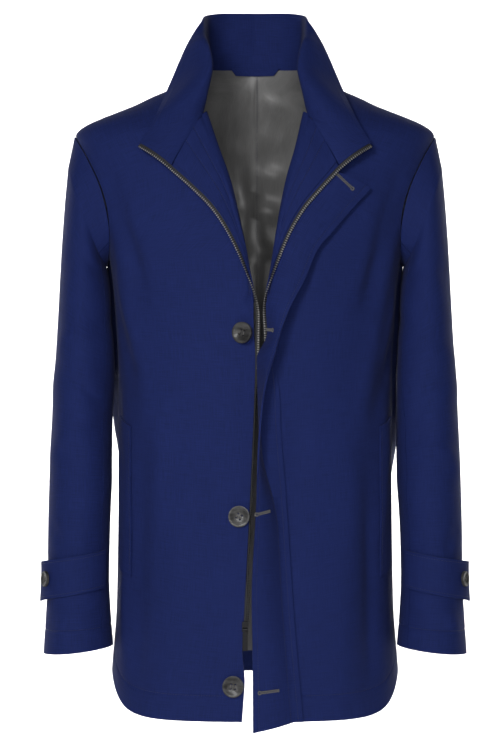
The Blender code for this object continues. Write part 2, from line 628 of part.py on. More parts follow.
def fly_sheet(rows, steps):
    """Fly from its seam beside the left zip edge, over that edge, then to its own free edge."""
    z = inner_edge(LEFT, rows)[1]
    inset = -FLY_SEAM + (FLY_SEAM - FLY_INSET) * ease(-0.44, -0.36, z)
    root = over_edge(LEFT, rows, np.stack((inset, inset / 2), axis=1), CLOTH + SEAM + FLY_ROOM)
    start = over_edge(LEFT, rows, [0.0], CLOTH + SEAM + 2 * FLY_ROOM)
    edge_x, edge_z, stand = (along(FLY, FLY_COLUMNS, name, z) for name in FLY_COLUMNS[1:])
    edge = section(LEFT, FRONT, angle_at(edge_x, edge_z), edge_z) - np.stack((0 * z, stand, 0 * z), axis=-1)
    step = np.asarray(steps)[None, :, None]
    bulge = FLY_BULGE * np.sin(np.pi * step) * normal(LEFT, FRONT, *inner_edge(LEFT, rows))[:, None]
    return np.concatenate((root, start + (edge[:, None] - start) * step + bulge), axis=1)


def make_fly(coat, navy):
    rows = np.append(LAPEL_ROWS[LAPEL_ROWS < FLY_TOP_ROW], FLY_TOP_ROW)
    cloth(coat, "fly", [fly_sheet(rows, np.linspace(0.0, 1.0, 6))], CLOTH, navy)


def zip_sheet(side):
    """Tape with its chain beyond the zip edge, from its foot up the front and the collar's end."""
    across = np.array([ZIP_GAP, ZIP_GAP + ZIP_WIDTH])
    rows = LAPEL_ROWS[inner_edge(side, LAPEL_ROWS)[1] > ZIP_FOOT]
    rows = np.append(rows[0] - 0.015, rows)
    twist = np.exp(-((inner_edge(side, rows)[1] - ZIP_TWIST) / 0.02) ** 2)
    front = over_edge(side, rows, across + ZIP_GAP * twist[:, None], -(FACING + SEAM) / 2)
    heights = np.linspace(0.12, 0.97, 7)
    end = collar_sheet(np.array([0.97, 1.0]) * side, heights)
    onward = unit(end[1] - end[0])[:, None]
    collar_end = end[1][:, None] + across[None, :, None] * onward
    return np.concatenate((front, collar_end))


def make_zips(coat, tape):
    for side, name in ((RIGHT, "right"), (LEFT, "left")):
        cloth(coat, f"zip_tape_{name}", [zip_sheet(side)], ZIP_WALL, tape)


def disc(coat, name, radius, thick, material):
    """Sew-through button: a turned disc with a raised rim and a dished middle."""
    outline = [(0.0, 0.62), (0.55, 0.62), (0.70, 0.80), (0.80, 1.0), (0.93, 0.95), (1.0, 0.70),
               (0.97, 0.30), (0.75, 0.0), (0.0, 0.0)]
    shape = bmesh.new()
    points = [shape.verts.new((radius * across, 0.0, thick * up)) for across, up in outline]
    for first, second in zip(points, points[1:]):
        shape.edges.new((first, second))
    mesh = bpy.data.meshes.new(name)
    shape.to_mesh(mesh)
    shape.free()
    item = place(coat, name, mesh, material)
    turned = item.modifiers.new("turned", "SCREW")
    turned.steps = turned.render_steps = BUTTON_STEPS
    turned.use_merge_vertices = True
    turned.merge_threshold = 0.00001
    return item


def seat(item, point, outward):
    """Set a button's back on a point, facing outward."""
    turn = Vector((0.0, 0.0, 1.0)).rotation_difference(Vector(outward))
    item.matrix_world = Matrix.Translation(Vector(point)) @ turn.to_matrix().to_4x4()


def rest_height(ground, centre, facing, radius):
    """How far the cloth under a button reaches along its facing."""
    away = ground.reshape(-1, 3) - centre
    height = away @ facing
    near = np.linalg.norm(away - height[:, None] * facing, axis=1) < radius * 1.1
    return height[near].max()


def button_seats():
    """Name, place and facing of each button, with its radius and thickness."""
    rows = np.linspace(0.02, PIT_ROW, 180)
    ground = np.concatenate((front_body(RIGHT, rows, np.linspace(0.6, 1.0, 14)),
                             turned_edge(RIGHT, rows, np.linspace(0.1, 1.0, 16))), axis=1)
    for number, (x, z) in enumerate(FRONT_BUTTONS, start=2):
        at = angle_at(np.array([-x]), np.array([z])), np.array([z])
        centre, facing = section(RIGHT, FRONT, *at)[0], normal(RIGHT, FRONT, *at)[0]
        lift = rest_height(ground, centre, facing, BUTTON_RADIUS) + CLOTH / 2 + SEAM + BUTTON_ROOM
        yield f"button_front_{number}", centre + lift * facing, facing, BUTTON_RADIUS, BUTTON_THICK
    for side, name in ((RIGHT, "right"), (LEFT, "left")):
        at = np.array([strap_middle(SLEEVE_BUTTON_ANGLE)]), np.array([SLEEVE_BUTTON_ANGLE])
        centre, facing = sleeve_sheet(side, *at)[0, 0], sleeve_normal(side, *at)[0, 0]
        ground = strap_sheet(side, STRAP_OVER, 73, 17)
        lift = rest_height(ground, centre, facing, SLEEVE_BUTTON_RADIUS) + STRAP_WALL / 2 + SEAM
        yield (f"button_sleeve_{name}", centre + lift * facing, facing, SLEEVE_BUTTON_RADIUS,
               BUTTON_THICK * 0.8)


def make_buttons(coat, horn):
    for name, point, facing, radius, thick in button_seats():
        seat(disc(coat, name, radius, thick, horn), point, facing)


def make_welts(coat, navy):
    over = CLOTH / 2 + SEAM + WELT_WALL / 2 + WELT_ROOM
    angle = np.linspace(*WELT_ANGLES, 4)[None, :]
    z = np.linspace(*WELT_SPAN, 12)[:, None]
    z = z - 0.012 * (angle - WELT_ANGLES[0]) / (WELT_ANGLES[1] - WELT_ANGLES[0])
    angle = np.broadcast_to(angle, z.shape)
    for side, name in ((RIGHT, "right"), (LEFT, "left")):
        cloth(coat, f"pocket_welt_{name}", [form(side, FRONT, angle, z, np.full(z.shape, over))],
              WELT_WALL, navy)


def box(shape, low, high):
    made = bmesh.ops.create_cube(shape, size=1.0)
    low, high = Vector(low), Vector(high)
    for vertex in made["verts"]:
        vertex.co = Vector(a + (b - a) * (c + 0.5) for a, b, c in zip(low, high, vertex.co))


def rod(shape, radius, half_width, height_y, height_z, steps=16):
    """Round bar along X."""
    turn = Matrix.Rotation(np.pi / 2, 4, "Y")
    bmesh.ops.create_cone(shape, cap_ends=True, segments=steps, radius1=radius, radius2=radius,
                          depth=2 * half_width, matrix=Matrix.Translation((0.0, height_y, height_z)) @ turn)


def hard_piece(collection, name, build, material):
    shape = bmesh.new()
    build(shape)
    mesh = bpy.data.meshes.new(name)
    shape.to_mesh(mesh)
    shape.free()
    return place(collection, name, mesh, material)


def combine(item, other, operation):
    other.hide_render = True
    other.display_type = "WIRE"
    change = item.modifiers.new(operation.lower(), "BOOLEAN")
    change.operation = operation
    change.object = other


def make_slider(coat, cutters, steel):
    """Slider at the foot of the right tape, with its pull tab hanging from a pin between two ears."""
    foot = np.linspace(0.0, PIT_ROW, 200)
    row = foot[np.argmin(np.abs(inner_edge(RIGHT, foot)[1] - (SLIDER_TOP - SLIDER_HEIGHT / 2)))]
    beside = np.array([row - 0.01, row, row + 0.01])
    x, y = over_edge(RIGHT, beside, [ZIP_WIDTH / 2], -FACING / 2)[1, 0, :2]
    front = y - ZIP_WALL / 2 - SEAM - SLIDER_ROOM
    axis = Vector((x - 0.0012, front - SLIDER_DEPTH - EAR_REACH / 2, SLIDER_TOP - SLIDER_HEIGHT * 0.72))
    half = PULL_WIDTH / 2 - 0.0006
    back = front - axis.y

    def body(shape):
        box(shape, (-SLIDER_WIDTH / 2, back - SLIDER_DEPTH, -SLIDER_HEIGHT * 0.28),
            (SLIDER_WIDTH / 2, back, SLIDER_HEIGHT * 0.72))

    def ear(sign):
        def build(shape):
            inside, outside = sign * half, sign * (half + EAR_WIDTH)
            box(shape, (min(inside, outside), -EAR_REACH / 2, -0.0018),
                (max(inside, outside), back - SLIDER_DEPTH / 2, 0.0030))
        return build

    slider = hard_piece(coat, "zip_slider", body, steel)
    pieces = [hard_piece(cutters, f"slider_ear_{n}", ear(sign), steel) for n, sign in enumerate((-1, 1))]
    pieces.append(hard_piece(cutters, "slider_pin",
                             lambda shape: rod(shape, PIN_RADIUS, half + EAR_WIDTH / 2, 0.0, 0.0), steel))
    pull = hard_piece(coat, "zip_pull", lambda shape: rod(shape, PULL_EYE, half - SEAM, 0.0, 0.0, 20), steel)
    plate = hard_piece(cutters, "pull_plate", lambda shape: box(
        shape, (-PULL_WIDTH / 2, -PULL_THICK / 2, -PULL_LENGTH),
        (PULL_WIDTH / 2, PULL_THICK / 2, -PULL_NECK)), steel)
    neck = hard_piece(cutters, "pull_neck", lambda shape: box(
        shape, (-half + SEAM, -PULL_THICK / 2, -PULL_NECK - 0.0010),
        (half - SEAM, PULL_THICK / 2, -0.0014)), steel)
    hole = hard_piece(cutters, "pull_hole",
                      lambda shape: rod(shape, PULL_HOLE, PULL_WIDTH, 0.0, 0.0, 20), steel)
    for piece in pieces:
        combine(slider, piece, "UNION")
    combine(pull, neck, "UNION")
    combine(pull, plate, "UNION")
    combine(pull, hole, "DIFFERENCE")
    for item in (slider, pull, plate, neck, hole, *pieces):
        item.location = axis


def main():
    coat = clear_scene()
    cutters = bpy.data.collections.new("cutters")
    bpy.context.scene.collection.children.link(cutters)
    navy = finish("navy_cloth", NAVY)
    satin = finish("lining_satin", GREY_SATIN)
    tape = finish("zip_tape", ZIP_GREY)
    horn = finish("button_horn", HORN)
    steel = finish("zip_steel", STEEL)
    make_fronts(coat, navy)
    make_facings(coat, navy)
    make_back(coat, navy, satin)
    make_hanger_loop(coat, navy)
    make_collar(coat, navy)
    make_sleeves(coat, navy)
    make_straps(coat, navy)
    make_fly(coat, navy)
    make_zips(coat, tape)
    make_welts(coat, navy)
    make_buttons(coat, horn)
    make_slider(coat, cutters, steel)


main()
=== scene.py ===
"""Looks of a car coat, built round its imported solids.

Every piece is in metres in the frame of the solids: +Z up, the coat faces -Y
and +X is the wearer's left. Cloth is laid on the same forms as the solids,
more finely and with its creases.
"""
import math

import bmesh
import bpy
import numpy as np
from mathutils import Matrix, Vector


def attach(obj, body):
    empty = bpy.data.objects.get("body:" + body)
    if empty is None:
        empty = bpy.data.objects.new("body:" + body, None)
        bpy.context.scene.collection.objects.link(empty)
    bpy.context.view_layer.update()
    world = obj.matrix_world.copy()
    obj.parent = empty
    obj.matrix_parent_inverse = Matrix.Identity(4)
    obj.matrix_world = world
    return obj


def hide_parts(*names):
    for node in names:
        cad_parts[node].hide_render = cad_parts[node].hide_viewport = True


bl_info = {
    "name": "Car coat",
    "version": (1, 0, 0),
    "blender": (4, 5, 0),
    "location": "3D View > Sidebar > Coat",
    "description": "Builds the cloth, zip, buttons and sewing of a car coat",
    "category": "Object",
}

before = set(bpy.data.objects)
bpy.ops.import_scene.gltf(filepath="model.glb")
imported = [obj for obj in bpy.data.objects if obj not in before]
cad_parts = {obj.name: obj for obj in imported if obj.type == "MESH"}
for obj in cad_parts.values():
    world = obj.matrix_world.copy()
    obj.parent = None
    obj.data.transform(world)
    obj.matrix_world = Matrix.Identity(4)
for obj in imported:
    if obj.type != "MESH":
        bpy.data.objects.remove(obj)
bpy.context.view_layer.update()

# Sizes of the cloth
CLOTH = 0.0022
FACING = 0.0012
LINING = 0.0010
COLLAR_WALL = 0.0030
SEAM = 0.0003
RIGHT, LEFT = -1, 1
SIDES = ((RIGHT, "right"), (LEFT, "left"))
FRONT, BACK = -1, 1

# The body of the coat as level sections: half width, depth before and behind
BODY_COLUMNS = ("z", "half_width", "front", "back", "squareness")
BODY = np.array([
    (-0.880, 0.193, 0.137, 0.140, 2.35),
    (-0.800, 0.189, 0.136, 0.138, 2.35),
    (-0.700, 0.182, 0.134, 0.132, 2.30),
    (-0.550, 0.180, 0.131, 0.122, 2.30),
    (-0.420, 0.180, 0.133, 0.117, 2.30),
    (-0.300, 0.186, 0.134, 0.123, 2.35),
    (-0.240, 0.194, 0.131, 0.126, 2.40),
    (-0.170, 0.215, 0.120, 0.123, 2.40),
    (-0.120, 0.231, 0.107, 0.114, 2.40),
    (-0.090, 0.237, 0.096, 0.105, 2.35),
    (-0.045, 0.150, 0.069, 0.083, 2.20),
    (0.000, 0.066, 0.056, 0.066, 2.10),
    (0.030, 0.064, 0.054, 0.062, 2.10),
])

# Where the coat hangs in folds: angle round from the side seam, lean, top, bottom, width and depth
FRONT_FOLDS = np.array([
    (0.62, 0.10, -0.13, -0.30, 0.10, -0.0040),
    (0.42, 0.34, -0.22, -0.46, 0.12, 0.0045),
    (0.66, 0.04, -0.50, -0.82, 0.10, -0.0030),
    (0.92, 0.12, -0.52, -0.84, 0.14, 0.0035),
    (1.32, 0.08, -0.40, -0.80, 0.12, -0.0045),
])
BACK_FOLDS = np.array([
    (0.28, 0.00, -0.258, -0.520, 0.13, 0.0150),
    (0.55, 0.12, -0.16, -0.36, 0.12, -0.0045),
    (0.40, 0.30, -0.24, -0.52, 0.12, 0.0045),
    (0.70, 0.06, -0.50, -0.82, 0.13, -0.0050),
    (1.05, 0.08, -0.46, -0.82, 0.13, 0.0055),
    (1.35, 0.05, -0.56, -0.82, 0.12, -0.0040),
])

# Shares of its length over which a fold or crease starts and ends, and angles where both fade:
# from the side seam, and towards the edge of a front
FOLD_STARTS, FOLD_ENDS = (-0.15, 0.35), (0.75, 1.2)
CREASE_STARTS, CREASE_ENDS, CREASE_BOW = (-0.15, 0.30), (0.65, 1.12), 0.07
FOLD_SIDE, CREASE_SIDE, CREASE_EDGE = 0.25, 0.12, (1.22, 1.36)

# Hem: lowest in front, rising where the coat turns round the side
HEM_FRONT, HEM_BACK, HEM_SIDE = -0.845, -0.818, -0.792
HEM_TURN = 0.42
HEM_REACH = 0.16

# Armhole: an oval round the side line, wider behind than in front
PIT, SHOULDER_TIP = -0.250, -0.090
ARMHOLE_FRONT, ARMHOLE_BACK = 0.44, 0.48
ARMHOLE_ROOM, ARMHOLE_RADIUS = 0.0014, 0.15

# Neck line: side of the neck, and its height at the back
NECK_SIDE = 0.0660
NECK_BACK = 0.0100
GORGE = -0.068

# Innermost line of each front: zip below, fold of the turned-out front above
OPENING_COLUMNS = ("z", "right", "left", "turn_right", "turn_left")
OPENING = np.array([
    (-0.860, -0.0162, 0.0415, 0.00, 0.00),
    (-0.761, -0.0092, 0.0330, 0.00, 0.00),
    (-0.691, -0.0054, 0.0273, 0.00, 0.00),
    (-0.539, 0.0022, 0.0172, 0.00, 0.00),
    (-0.430, 0.0066, 0.0112, 0.00, 0.00),
    (-0.385, 0.0078, 0.0098, 0.00, 0.00),
    (-0.335, 0.0034, 0.0126, 0.00, 0.10),
    (-0.305, -0.0030, 0.0152, 1.30, 1.30),
    (-0.260, -0.0092, 0.0212, 2.60, 2.60),
    (-0.205, -0.0195, 0.0290, np.pi, np.pi),
    (-0.157, -0.0305, 0.0380, np.pi, np.pi),
    (-0.117, -0.0440, 0.0490, np.pi, np.pi),
    (-0.068, -0.0600, 0.0600, np.pi, np.pi),
])
FOLD_RADIUS, FOLD_HANDLE, FOLD_RISE, LAPEL_SLACK = 0.0050, 0.0067, 0.0070, 0.0200
FOLD_RISE_FROM, FOLD_RISE_TO = 0.13, 0.03
EDGE_STRIP = 0.0140
ZIP_WIDTH, ZIP_GAP = 0.0066, 0.0012
ZIP_TWIST, ZIP_TWIST_WIDTH = -0.287, 0.02

# Turned-out front: its free edge over the chest, and how far it stands off
LAPEL_COLUMNS = ("z", "edge_out", "edge_z", "lift")
LAPEL = np.array([
    (-0.311, 0.0060, -0.315, 0.0120),
    (-0.260, 0.0180, -0.268, 0.0125),
    (-0.205, 0.0345, -0.228, 0.0135),
    (-0.157, 0.0550, -0.194, 0.0150),
    (-0.117, 0.0760, -0.170, 0.0150),
    (-0.068, 0.1030, -0.143, 0.0145),
])
LAPEL_BLEND = (-0.370, -0.285)
LAPEL_CLEAR = (0.3, 0.6)

# Collar from the middle of the back round to the front end
COLLAR_COLUMNS = ("station", "roll_x", "roll_y", "roll_z", "top_x", "top_y", "top_z")
COLLAR = np.array([
    (0.00, 0.0000, 0.0710, 0.0490, 0.0000, 0.0760, 0.0875),
    (0.13, 0.0370, 0.0610, 0.0480, 0.0385, 0.0650, 0.0860),
    (0.26, 0.0630, 0.0300, 0.0400, 0.0650, 0.0330, 0.0780),
    (0.38, 0.0655, -0.0090, 0.0385, 0.0700, -0.0040, 0.0650),
    (0.50, 0.0640, -0.0400, 0.0330, 0.0890, -0.0280, 0.0280),
    (0.62, 0.0605, -0.0670, 0.0010, 0.1110, -0.0490, -0.0270),
    (0.76, 0.0840, -0.0960, -0.0560, 0.1275, -0.0890, -0.0720),
    (1.00, 0.1260, -0.1185, -0.1230, 0.1475, -0.1055, -0.1090),
])

# Stations where the collar's base passes the neck point and the start of the gorge
NECK_POINT, GORGE_START = 0.38, 0.70
COLLAR_SEAM, BACK_SEAM, BACK_SEAM_END = 0.0026, 0.0006, 0.24
COLLAR_GAP_PAST, COLLAR_GAP_WIDTH, COLLAR_BELOW = 0.06, 0.07, -0.012

# Sleeves: outer and inner side of each section, its depth, and how far it hangs forward
SLEEVE_COLUMNS = ("station", "outer", "outer_z", "inner", "inner_z", "depth", "forward")
SLEEVE = np.array([
    (0.06, 0.2470, -0.130, 0.2005, -0.262, 0.0640, -0.002),
    (0.14, 0.2520, -0.185, 0.1980, -0.287, 0.0640, -0.002),
    (0.23, 0.2560, -0.245, 0.1950, -0.318, 0.0625, 0.000),
    (0.35, 0.2600, -0.325, 0.1915, -0.368, 0.0605, 0.003),
    (0.50, 0.2655, -0.425, 0.1900, -0.448, 0.0580, 0.008),
    (0.65, 0.2700, -0.525, 0.1905, -0.533, 0.0550, 0.016),
    (0.79, 0.2715, -0.625, 0.1925, -0.625, 0.0505, 0.027),
    (0.86, 0.2710, -0.670, 0.1930, -0.670, 0.0490, 0.032),
    (0.93, 0.2730, -0.720, 0.1905, -0.716, 0.0505, 0.039),
    (1.00, 0.2755, -0.768, 0.1865, -0.758, 0.0530, 0.046),
])

# Folds of the sleeves: station, angle, width, spread and depth
SLEEVE_FOLDS = np.array([
    (0.30, 0.9, 0.030, 0.8, -0.0030),
    (0.47, 2.2, 0.035, 0.9, 0.0030),
    (0.56, 1.2, 0.030, 0.8, -0.0035),
    (0.70, 0.8, 0.030, 0.7, 0.0025),
    (0.45, -1.3, 0.035, 0.9, -0.0035),
    (0.60, -1.7, 0.035, 0.8, 0.0030),
])
TOP_SLEEVE = (0.70, 5.40)
SLEEVE_SEAM, SLEEVE_ROOM, SLEEVE_FOLD_LEAN = 0.010, 0.0016, 0.03

# Strap round the front of each sleeve, from its seam to the button behind
STRAP_FROM, STRAP_TO = 0.55, 3.55
STRAP_MIDDLE, STRAP_HALF = 0.8405, 0.0375
STRAP_SLANT = 0.0107
STRAP_WALL = 0.0024
STRAP_STAND, STRAP_STAND_AT, STRAP_STAND_WIDTH = 0.0055, 3.1, 0.7
STRAP_POINT, STRAP_POINT_TURN = 0.5, 0.4
STRAP_COLUMNS, STRAP_ROWS = 72, 15
STRAP_ROOM = 0.0008
STRAP_OVER = CLOTH / 2 + SEAM + STRAP_WALL / 2 + STRAP_ROOM

# Fly: a flap over the zip, sewn beside it. Where its free edge lies, and how far that stands off
FLY_COLUMNS = ("z", "edge_x", "edge_z", "stand")
FLY = np.array([
    (-0.850, -0.0028, -0.863, 0.0100),
    (-0.761, -0.0035, -0.760, 0.0170),
    (-0.691, -0.0045, -0.689, 0.0220),
    (-0.565, 0.0015, -0.570, 0.0290),
    (-0.500, 0.0058, -0.495, 0.0320),
    (-0.430, 0.0132, -0.420, 0.0340),
    (-0.385, 0.0250, -0.378, 0.0330),
    (-0.350, 0.0330, -0.349, 0.0310),
    (-0.311, 0.0455, -0.317, 0.0260),
    (-0.260, 0.0620, -0.286, 0.0190),
    (-0.205, 0.0780, -0.248, 0.0140),
    (-0.157, 0.1020, -0.219, 0.0115),
    (-0.117, 0.1275, -0.189, 0.0100),
    (-0.098, 0.1425, -0.173, 0.0095),
    (-0.079, 0.1475, -0.167, 0.0095),
])
FLY_SEAM, FLY_INSET, FLY_SEAM_FADE = 0.0125, 0.0040, (-0.44, -0.36)
FLY_BULGE, FLY_ROOM, FLY_TOP_ROW = 0.0050, 0.0008, 0.885

# Pocket welts near the side seams
WELT_ANGLES = (0.24, 0.52)
WELT_SPAN = (-0.655, -0.460)
WELT_WALL, WELT_ROOM, WELT_SLANT = 0.0018, 0.0005, 0.012
WELT_COLUMNS, WELT_ROWS = 14, 60

# Facing inside the turned-out fronts, lining and hanger loop inside the back. The cloth loop lies
# higher than its solid and is wider at its top
FACING_FOOT, FACING_EDGE, FACING_ROOM, FACING_COLUMNS = 0.42, 0.980, 0.0005, 12
LINING_ROOM = 0.0003
LOOP_HALF, LOOP_FOOT, LOOP_HEIGHT = 0.033, -0.004, 0.009
LOOP_WALL, LOOP_ROOM = 0.0014, 0.0006
LOOP_RAISE, LOOP_NARROW, LOOP_FLARE = 0.005, 0.005, 0.008

# Buttons
BUTTON_RADIUS, BUTTON_THICK = 0.0135, 0.0042
SLEEVE_BUTTON_RADIUS, SLEEVE_BUTTON_THICK = 0.0100, BUTTON_THICK * 0.8
BUTTON_ROOM, BUTTON_REST = 0.0003, 1.1
FRONT_BUTTONS = ((-0.0155, -0.352), (-0.0205, -0.585), (-0.0280, -0.800))
SLEEVE_BUTTON_ANGLE = 2.55

# Tilt of a button on its thread, its lift as a share of its radius, and the turn between buttons
BUTTON_TILT, TILT_LIFT, BUTTON_TURN = {"button_front_2": 0.45}, 0.8, 0.35

# A button's form in shares of its radius and thickness: rim, slope, dish, round edge, holes, thread
RIM_WIDTH, SLOPE_WIDTH, DISH_DEPTH, RIM_ROUND = 0.20, 0.14, 0.34, 0.16
HOLE_PLACE, HOLE_RADIUS = 0.20, 0.095
THREAD_LENGTH, THREAD_RADIUS, THREAD_HEIGHT = 0.46, 0.055, 0.70

# Foot of the zip, and how far its tapes go on below it
ZIP_FOOT, ZIP_BELOW = -0.738, 0.012

# Rows of a panel between hem 0 and shoulder 1: waist, pit, start of the gorge
WAIST_ROW, PIT_ROW, GORGE_ROW = 0.40, 0.62, 0.90
NECK_SEAM = 4.0

# Single creases: across and height where each starts, the same where it ends, half width and depth.
# They are metres, and a sleeve's heights run down it. The collar's are shares of its length and height
BODY_SPAN, SLEEVE_SPAN, SLEEVE_LENGTH = 0.160, 0.045, 0.660
BODY_CREASES = {
    (RIGHT, FRONT): (
        (0.085, -0.150, 0.120, -0.300, 0.0135, -0.0029),
        (0.110, -0.190, 0.150, -0.270, 0.0121, 0.0022),
        (0.060, -0.270, 0.105, -0.360, 0.0149, 0.0029),
        (0.045, -0.330, 0.120, -0.420, 0.0162, -0.0025),
        (0.150, -0.420, 0.165, -0.640, 0.0175, 0.0029),
        (0.175, -0.470, 0.170, -0.760, 0.0149, -0.0029),
        (0.100, -0.560, 0.112, -0.800, 0.0189, -0.0023),
        (0.060, -0.640, 0.085, -0.790, 0.0135, 0.0022),
        (0.030, -0.420, 0.060, -0.540, 0.0149, -0.0022),
    ),
    (LEFT, FRONT): (
        (0.080, -0.160, 0.130, -0.330, 0.0149, -0.0027),
        (0.120, -0.210, 0.160, -0.330, 0.0135, 0.0023),
        (0.050, -0.280, 0.085, -0.400, 0.0162, 0.0032),
        (0.040, -0.350, 0.110, -0.470, 0.0162, -0.0029),
        (0.070, -0.430, 0.090, -0.640, 0.0162, 0.0023),
        (0.150, -0.480, 0.160, -0.800, 0.0189, 0.0025),
        (0.110, -0.600, 0.125, -0.810, 0.0149, -0.0025),
        (0.025, -0.440, 0.055, -0.560, 0.0135, -0.0022),
    ),
    (RIGHT, BACK): (
        (0.045, -0.180, 0.045, -0.470, 0.022, 0.0085),
        (0.080, -0.170, 0.130, -0.310, 0.0162, -0.0032),
        (0.060, -0.290, 0.150, -0.400, 0.0175, 0.0032),
        (0.120, -0.450, 0.135, -0.700, 0.0175, -0.0029),
        (0.190, -0.120, 0.185, -0.300, 0.0216, 0.0025),
        (0.040, -0.380, 0.110, -0.470, 0.0149, -0.0027),
    ),
    (LEFT, BACK): (
        (0.045, -0.165, 0.045, -0.580, 0.022, 0.0085),
        (0.085, -0.180, 0.140, -0.330, 0.0162, -0.0031),
        (0.055, -0.300, 0.140, -0.420, 0.0175, 0.0031),
        (0.110, -0.480, 0.130, -0.740, 0.0175, -0.0029),
        (0.200, -0.160, 0.190, -0.360, 0.0216, 0.0023),
        (0.045, -0.400, 0.120, -0.500, 0.0149, -0.0027),
    ),
}
SLEEVE_CREASES = {
    RIGHT: (
        (0.000, 0.020, 0.000, 0.340, 0.024, 0.0055),
        (0.040, 0.090, 0.110, 0.170, 0.0135, -0.0032),
        (0.050, 0.230, 0.120, 0.280, 0.0135, 0.0032),
        (0.035, 0.330, 0.115, 0.300, 0.0121, -0.0036),
        (0.045, 0.370, 0.130, 0.420, 0.0135, 0.0032),
        (0.060, 0.430, 0.125, 0.400, 0.0108, -0.0029),
        (0.050, 0.515, 0.085, 0.535, 0.0081, 0.0029),
        (0.090, 0.520, 0.120, 0.500, 0.0081, -0.0025),
        (0.060, 0.600, 0.100, 0.640, 0.0108, 0.0025),
        (0.180, 0.150, 0.230, 0.230, 0.0149, -0.0032),
        (0.170, 0.330, 0.225, 0.380, 0.0149, 0.0032),
    ),
    LEFT: (
        (0.000, 0.010, 0.000, 0.470, 0.024, 0.0055),
        (0.045, 0.100, 0.115, 0.190, 0.0135, -0.0032),
        (0.040, 0.250, 0.130, 0.300, 0.0135, 0.0034),
        (0.040, 0.350, 0.110, 0.310, 0.0121, -0.0032),
        (0.055, 0.390, 0.125, 0.440, 0.0121, 0.0034),
        (0.050, 0.455, 0.115, 0.425, 0.0108, -0.0031),
        (0.055, 0.520, 0.090, 0.540, 0.0081, 0.0029),
        (0.085, 0.525, 0.118, 0.505, 0.0081, -0.0025),
        (0.070, 0.600, 0.110, 0.635, 0.0108, 0.0027),
        (0.175, 0.160, 0.235, 0.250, 0.0149, -0.0032),
        (0.165, 0.350, 0.230, 0.400, 0.0149, 0.0032),
    ),
}
LINING_CREASES = (
    (-0.030, -0.020, -0.014, -0.230, 0.007, 0.0030),
    (0.025, -0.030, 0.012, -0.260, 0.008, 0.0030),
    (0.006, -0.030, 0.050, -0.042, 0.010, 0.0045),
    (0.006, -0.075, 0.046, -0.088, 0.012, 0.0050),
    (0.006, -0.125, 0.042, -0.136, 0.012, 0.0050),
    (0.006, -0.172, 0.036, -0.184, 0.012, 0.0050),
    (-0.045, -0.085, -0.010, -0.105, 0.014, 0.0032),
    (-0.040, -0.160, -0.008, -0.176, 0.014, 0.0032),
    (0.004, -0.225, 0.024, -0.240, 0.010, 0.0040),
    (-0.024, -0.250, -0.004, -0.262, 0.010, 0.0030),
)
COLLAR_CREASES = (
    (-0.75, 0.2, -0.55, 0.9, 0.05, 0.0006),
    (0.62, 0.2, 0.80, 0.9, 0.05, -0.0006),
    (-0.20, 0.1, -0.10, 0.8, 0.05, -0.0006),
    (0.15, 0.1, 0.24, 0.9, 0.05, 0.0006),
)

# Lining: its lowest row, its outer side, and the pleat in its middle with a steep and a flat side
LINING_FOOT, LINING_SIDE = 0.03, 0.30
PLEAT_DEPTH, PLEAT_SHIFT, PLEAT_WAVES = 0.0045, 0.0020, 19
PLEAT_STEEP, PLEAT_FLAT, PLEAT_TOP = 0.0035, 0.0140, (-0.030, 0.004)

# Sewing: rows, steps and stations of the stitched lines, and size of the stitches
HEM_STITCH, CUFF_STITCH, COLLAR_STITCH = 0.034, 0.955, 0.93
FACING_STITCH, FACING_STITCH_FOOT = (0.72, 0.84), 0.08
LINING_STITCH, LINING_STITCH_LIFT, LINING_STITCH_FOOT = 0.003, 0.0006, -0.36
STITCH_SHARE, STITCH_RADIUS, STITCH_LIFT = 0.72, 0.00030, 0.00005

# Width and depth of the dent along each stitched line, and how close the rows are beside the hem's
HEM_DENT, HEM_DEPTH, HEM_LINE = 0.0020, 0.0007, 0.0022
CUFF_DENT, CUFF_DEPTH = 0.0022, 0.0007
FACING_DENT, FACING_DEPTH = 0.008, 0.0006
COLLAR_DENT, COLLAR_DEPTH = 0.010, 0.0002

# How deep the stitches lie in their dents, where the cuff's and the collar's lines end, and how far
# beside a line its outward direction is read
HEM_SINK, FACING_SINK, COLLAR_SINK = 0.0006, 0.0005, 0.0004
CUFF_ENDS, COLLAR_STITCH_END = 0.06, 0.985
FACING_NEAR, COLLAR_NEAR = 0.03, 0.02

# Buttonholes on the fly: row, step, turn and length. Then their slot, eyelet and stitches
BUTTONHOLES = (
    (0.862, 0.40, 0.50, 0.027),
    (0.5136, 0.14, 0.0, 0.021),
    (0.2809, 0.66, 0.0, 0.021),
    (0.0448, 0.58, 0.0, 0.025),
)
HOLE_SLOT, EYELET, EYELET_TURN = 0.0010, 0.0019, 2.75
HOLE_PITCH, HOLE_STITCH = 0.00075, (0.0021, 0.00042)

# How the closing lies: the tapes are tucked in, and the right one goes under its edge in the middle
TAPE_WALL, TAPE_TUCK = 0.0010, 0.20
ZIP_UNDER, ZIP_UNDER_SINK = 0.0032, 0.4
ZIP_UNDER_TOP, ZIP_UNDER_FOOT = (-0.430, -0.390), (-0.685, -0.655)
ZIP_SMOOTH_FOOT, ZIP_SMOOTH_TOP, ZIP_SMOOTH_ROWS = (-0.44, -0.39), (-0.25, -0.20), 6

# The fly lies further over the zip in the middle, and tapes and fly draw together at the break
FLY_COVER, FLY_COVER_TOP, FLY_COVER_FOOT = 0.0150, (-0.385, -0.352), (-0.60, -0.50)
MEET_HEIGHT = -0.335
ZIP_MEET, ZIP_MEET_WIDTH = 0.0020, 0.035
FLY_MEET, FLY_MEET_WIDTH = 0.0045, 0.026
FLY_WAIST, FLY_WAIST_WIDTH, FLY_WAIST_SHARE = -0.48, 0.06, 0.4

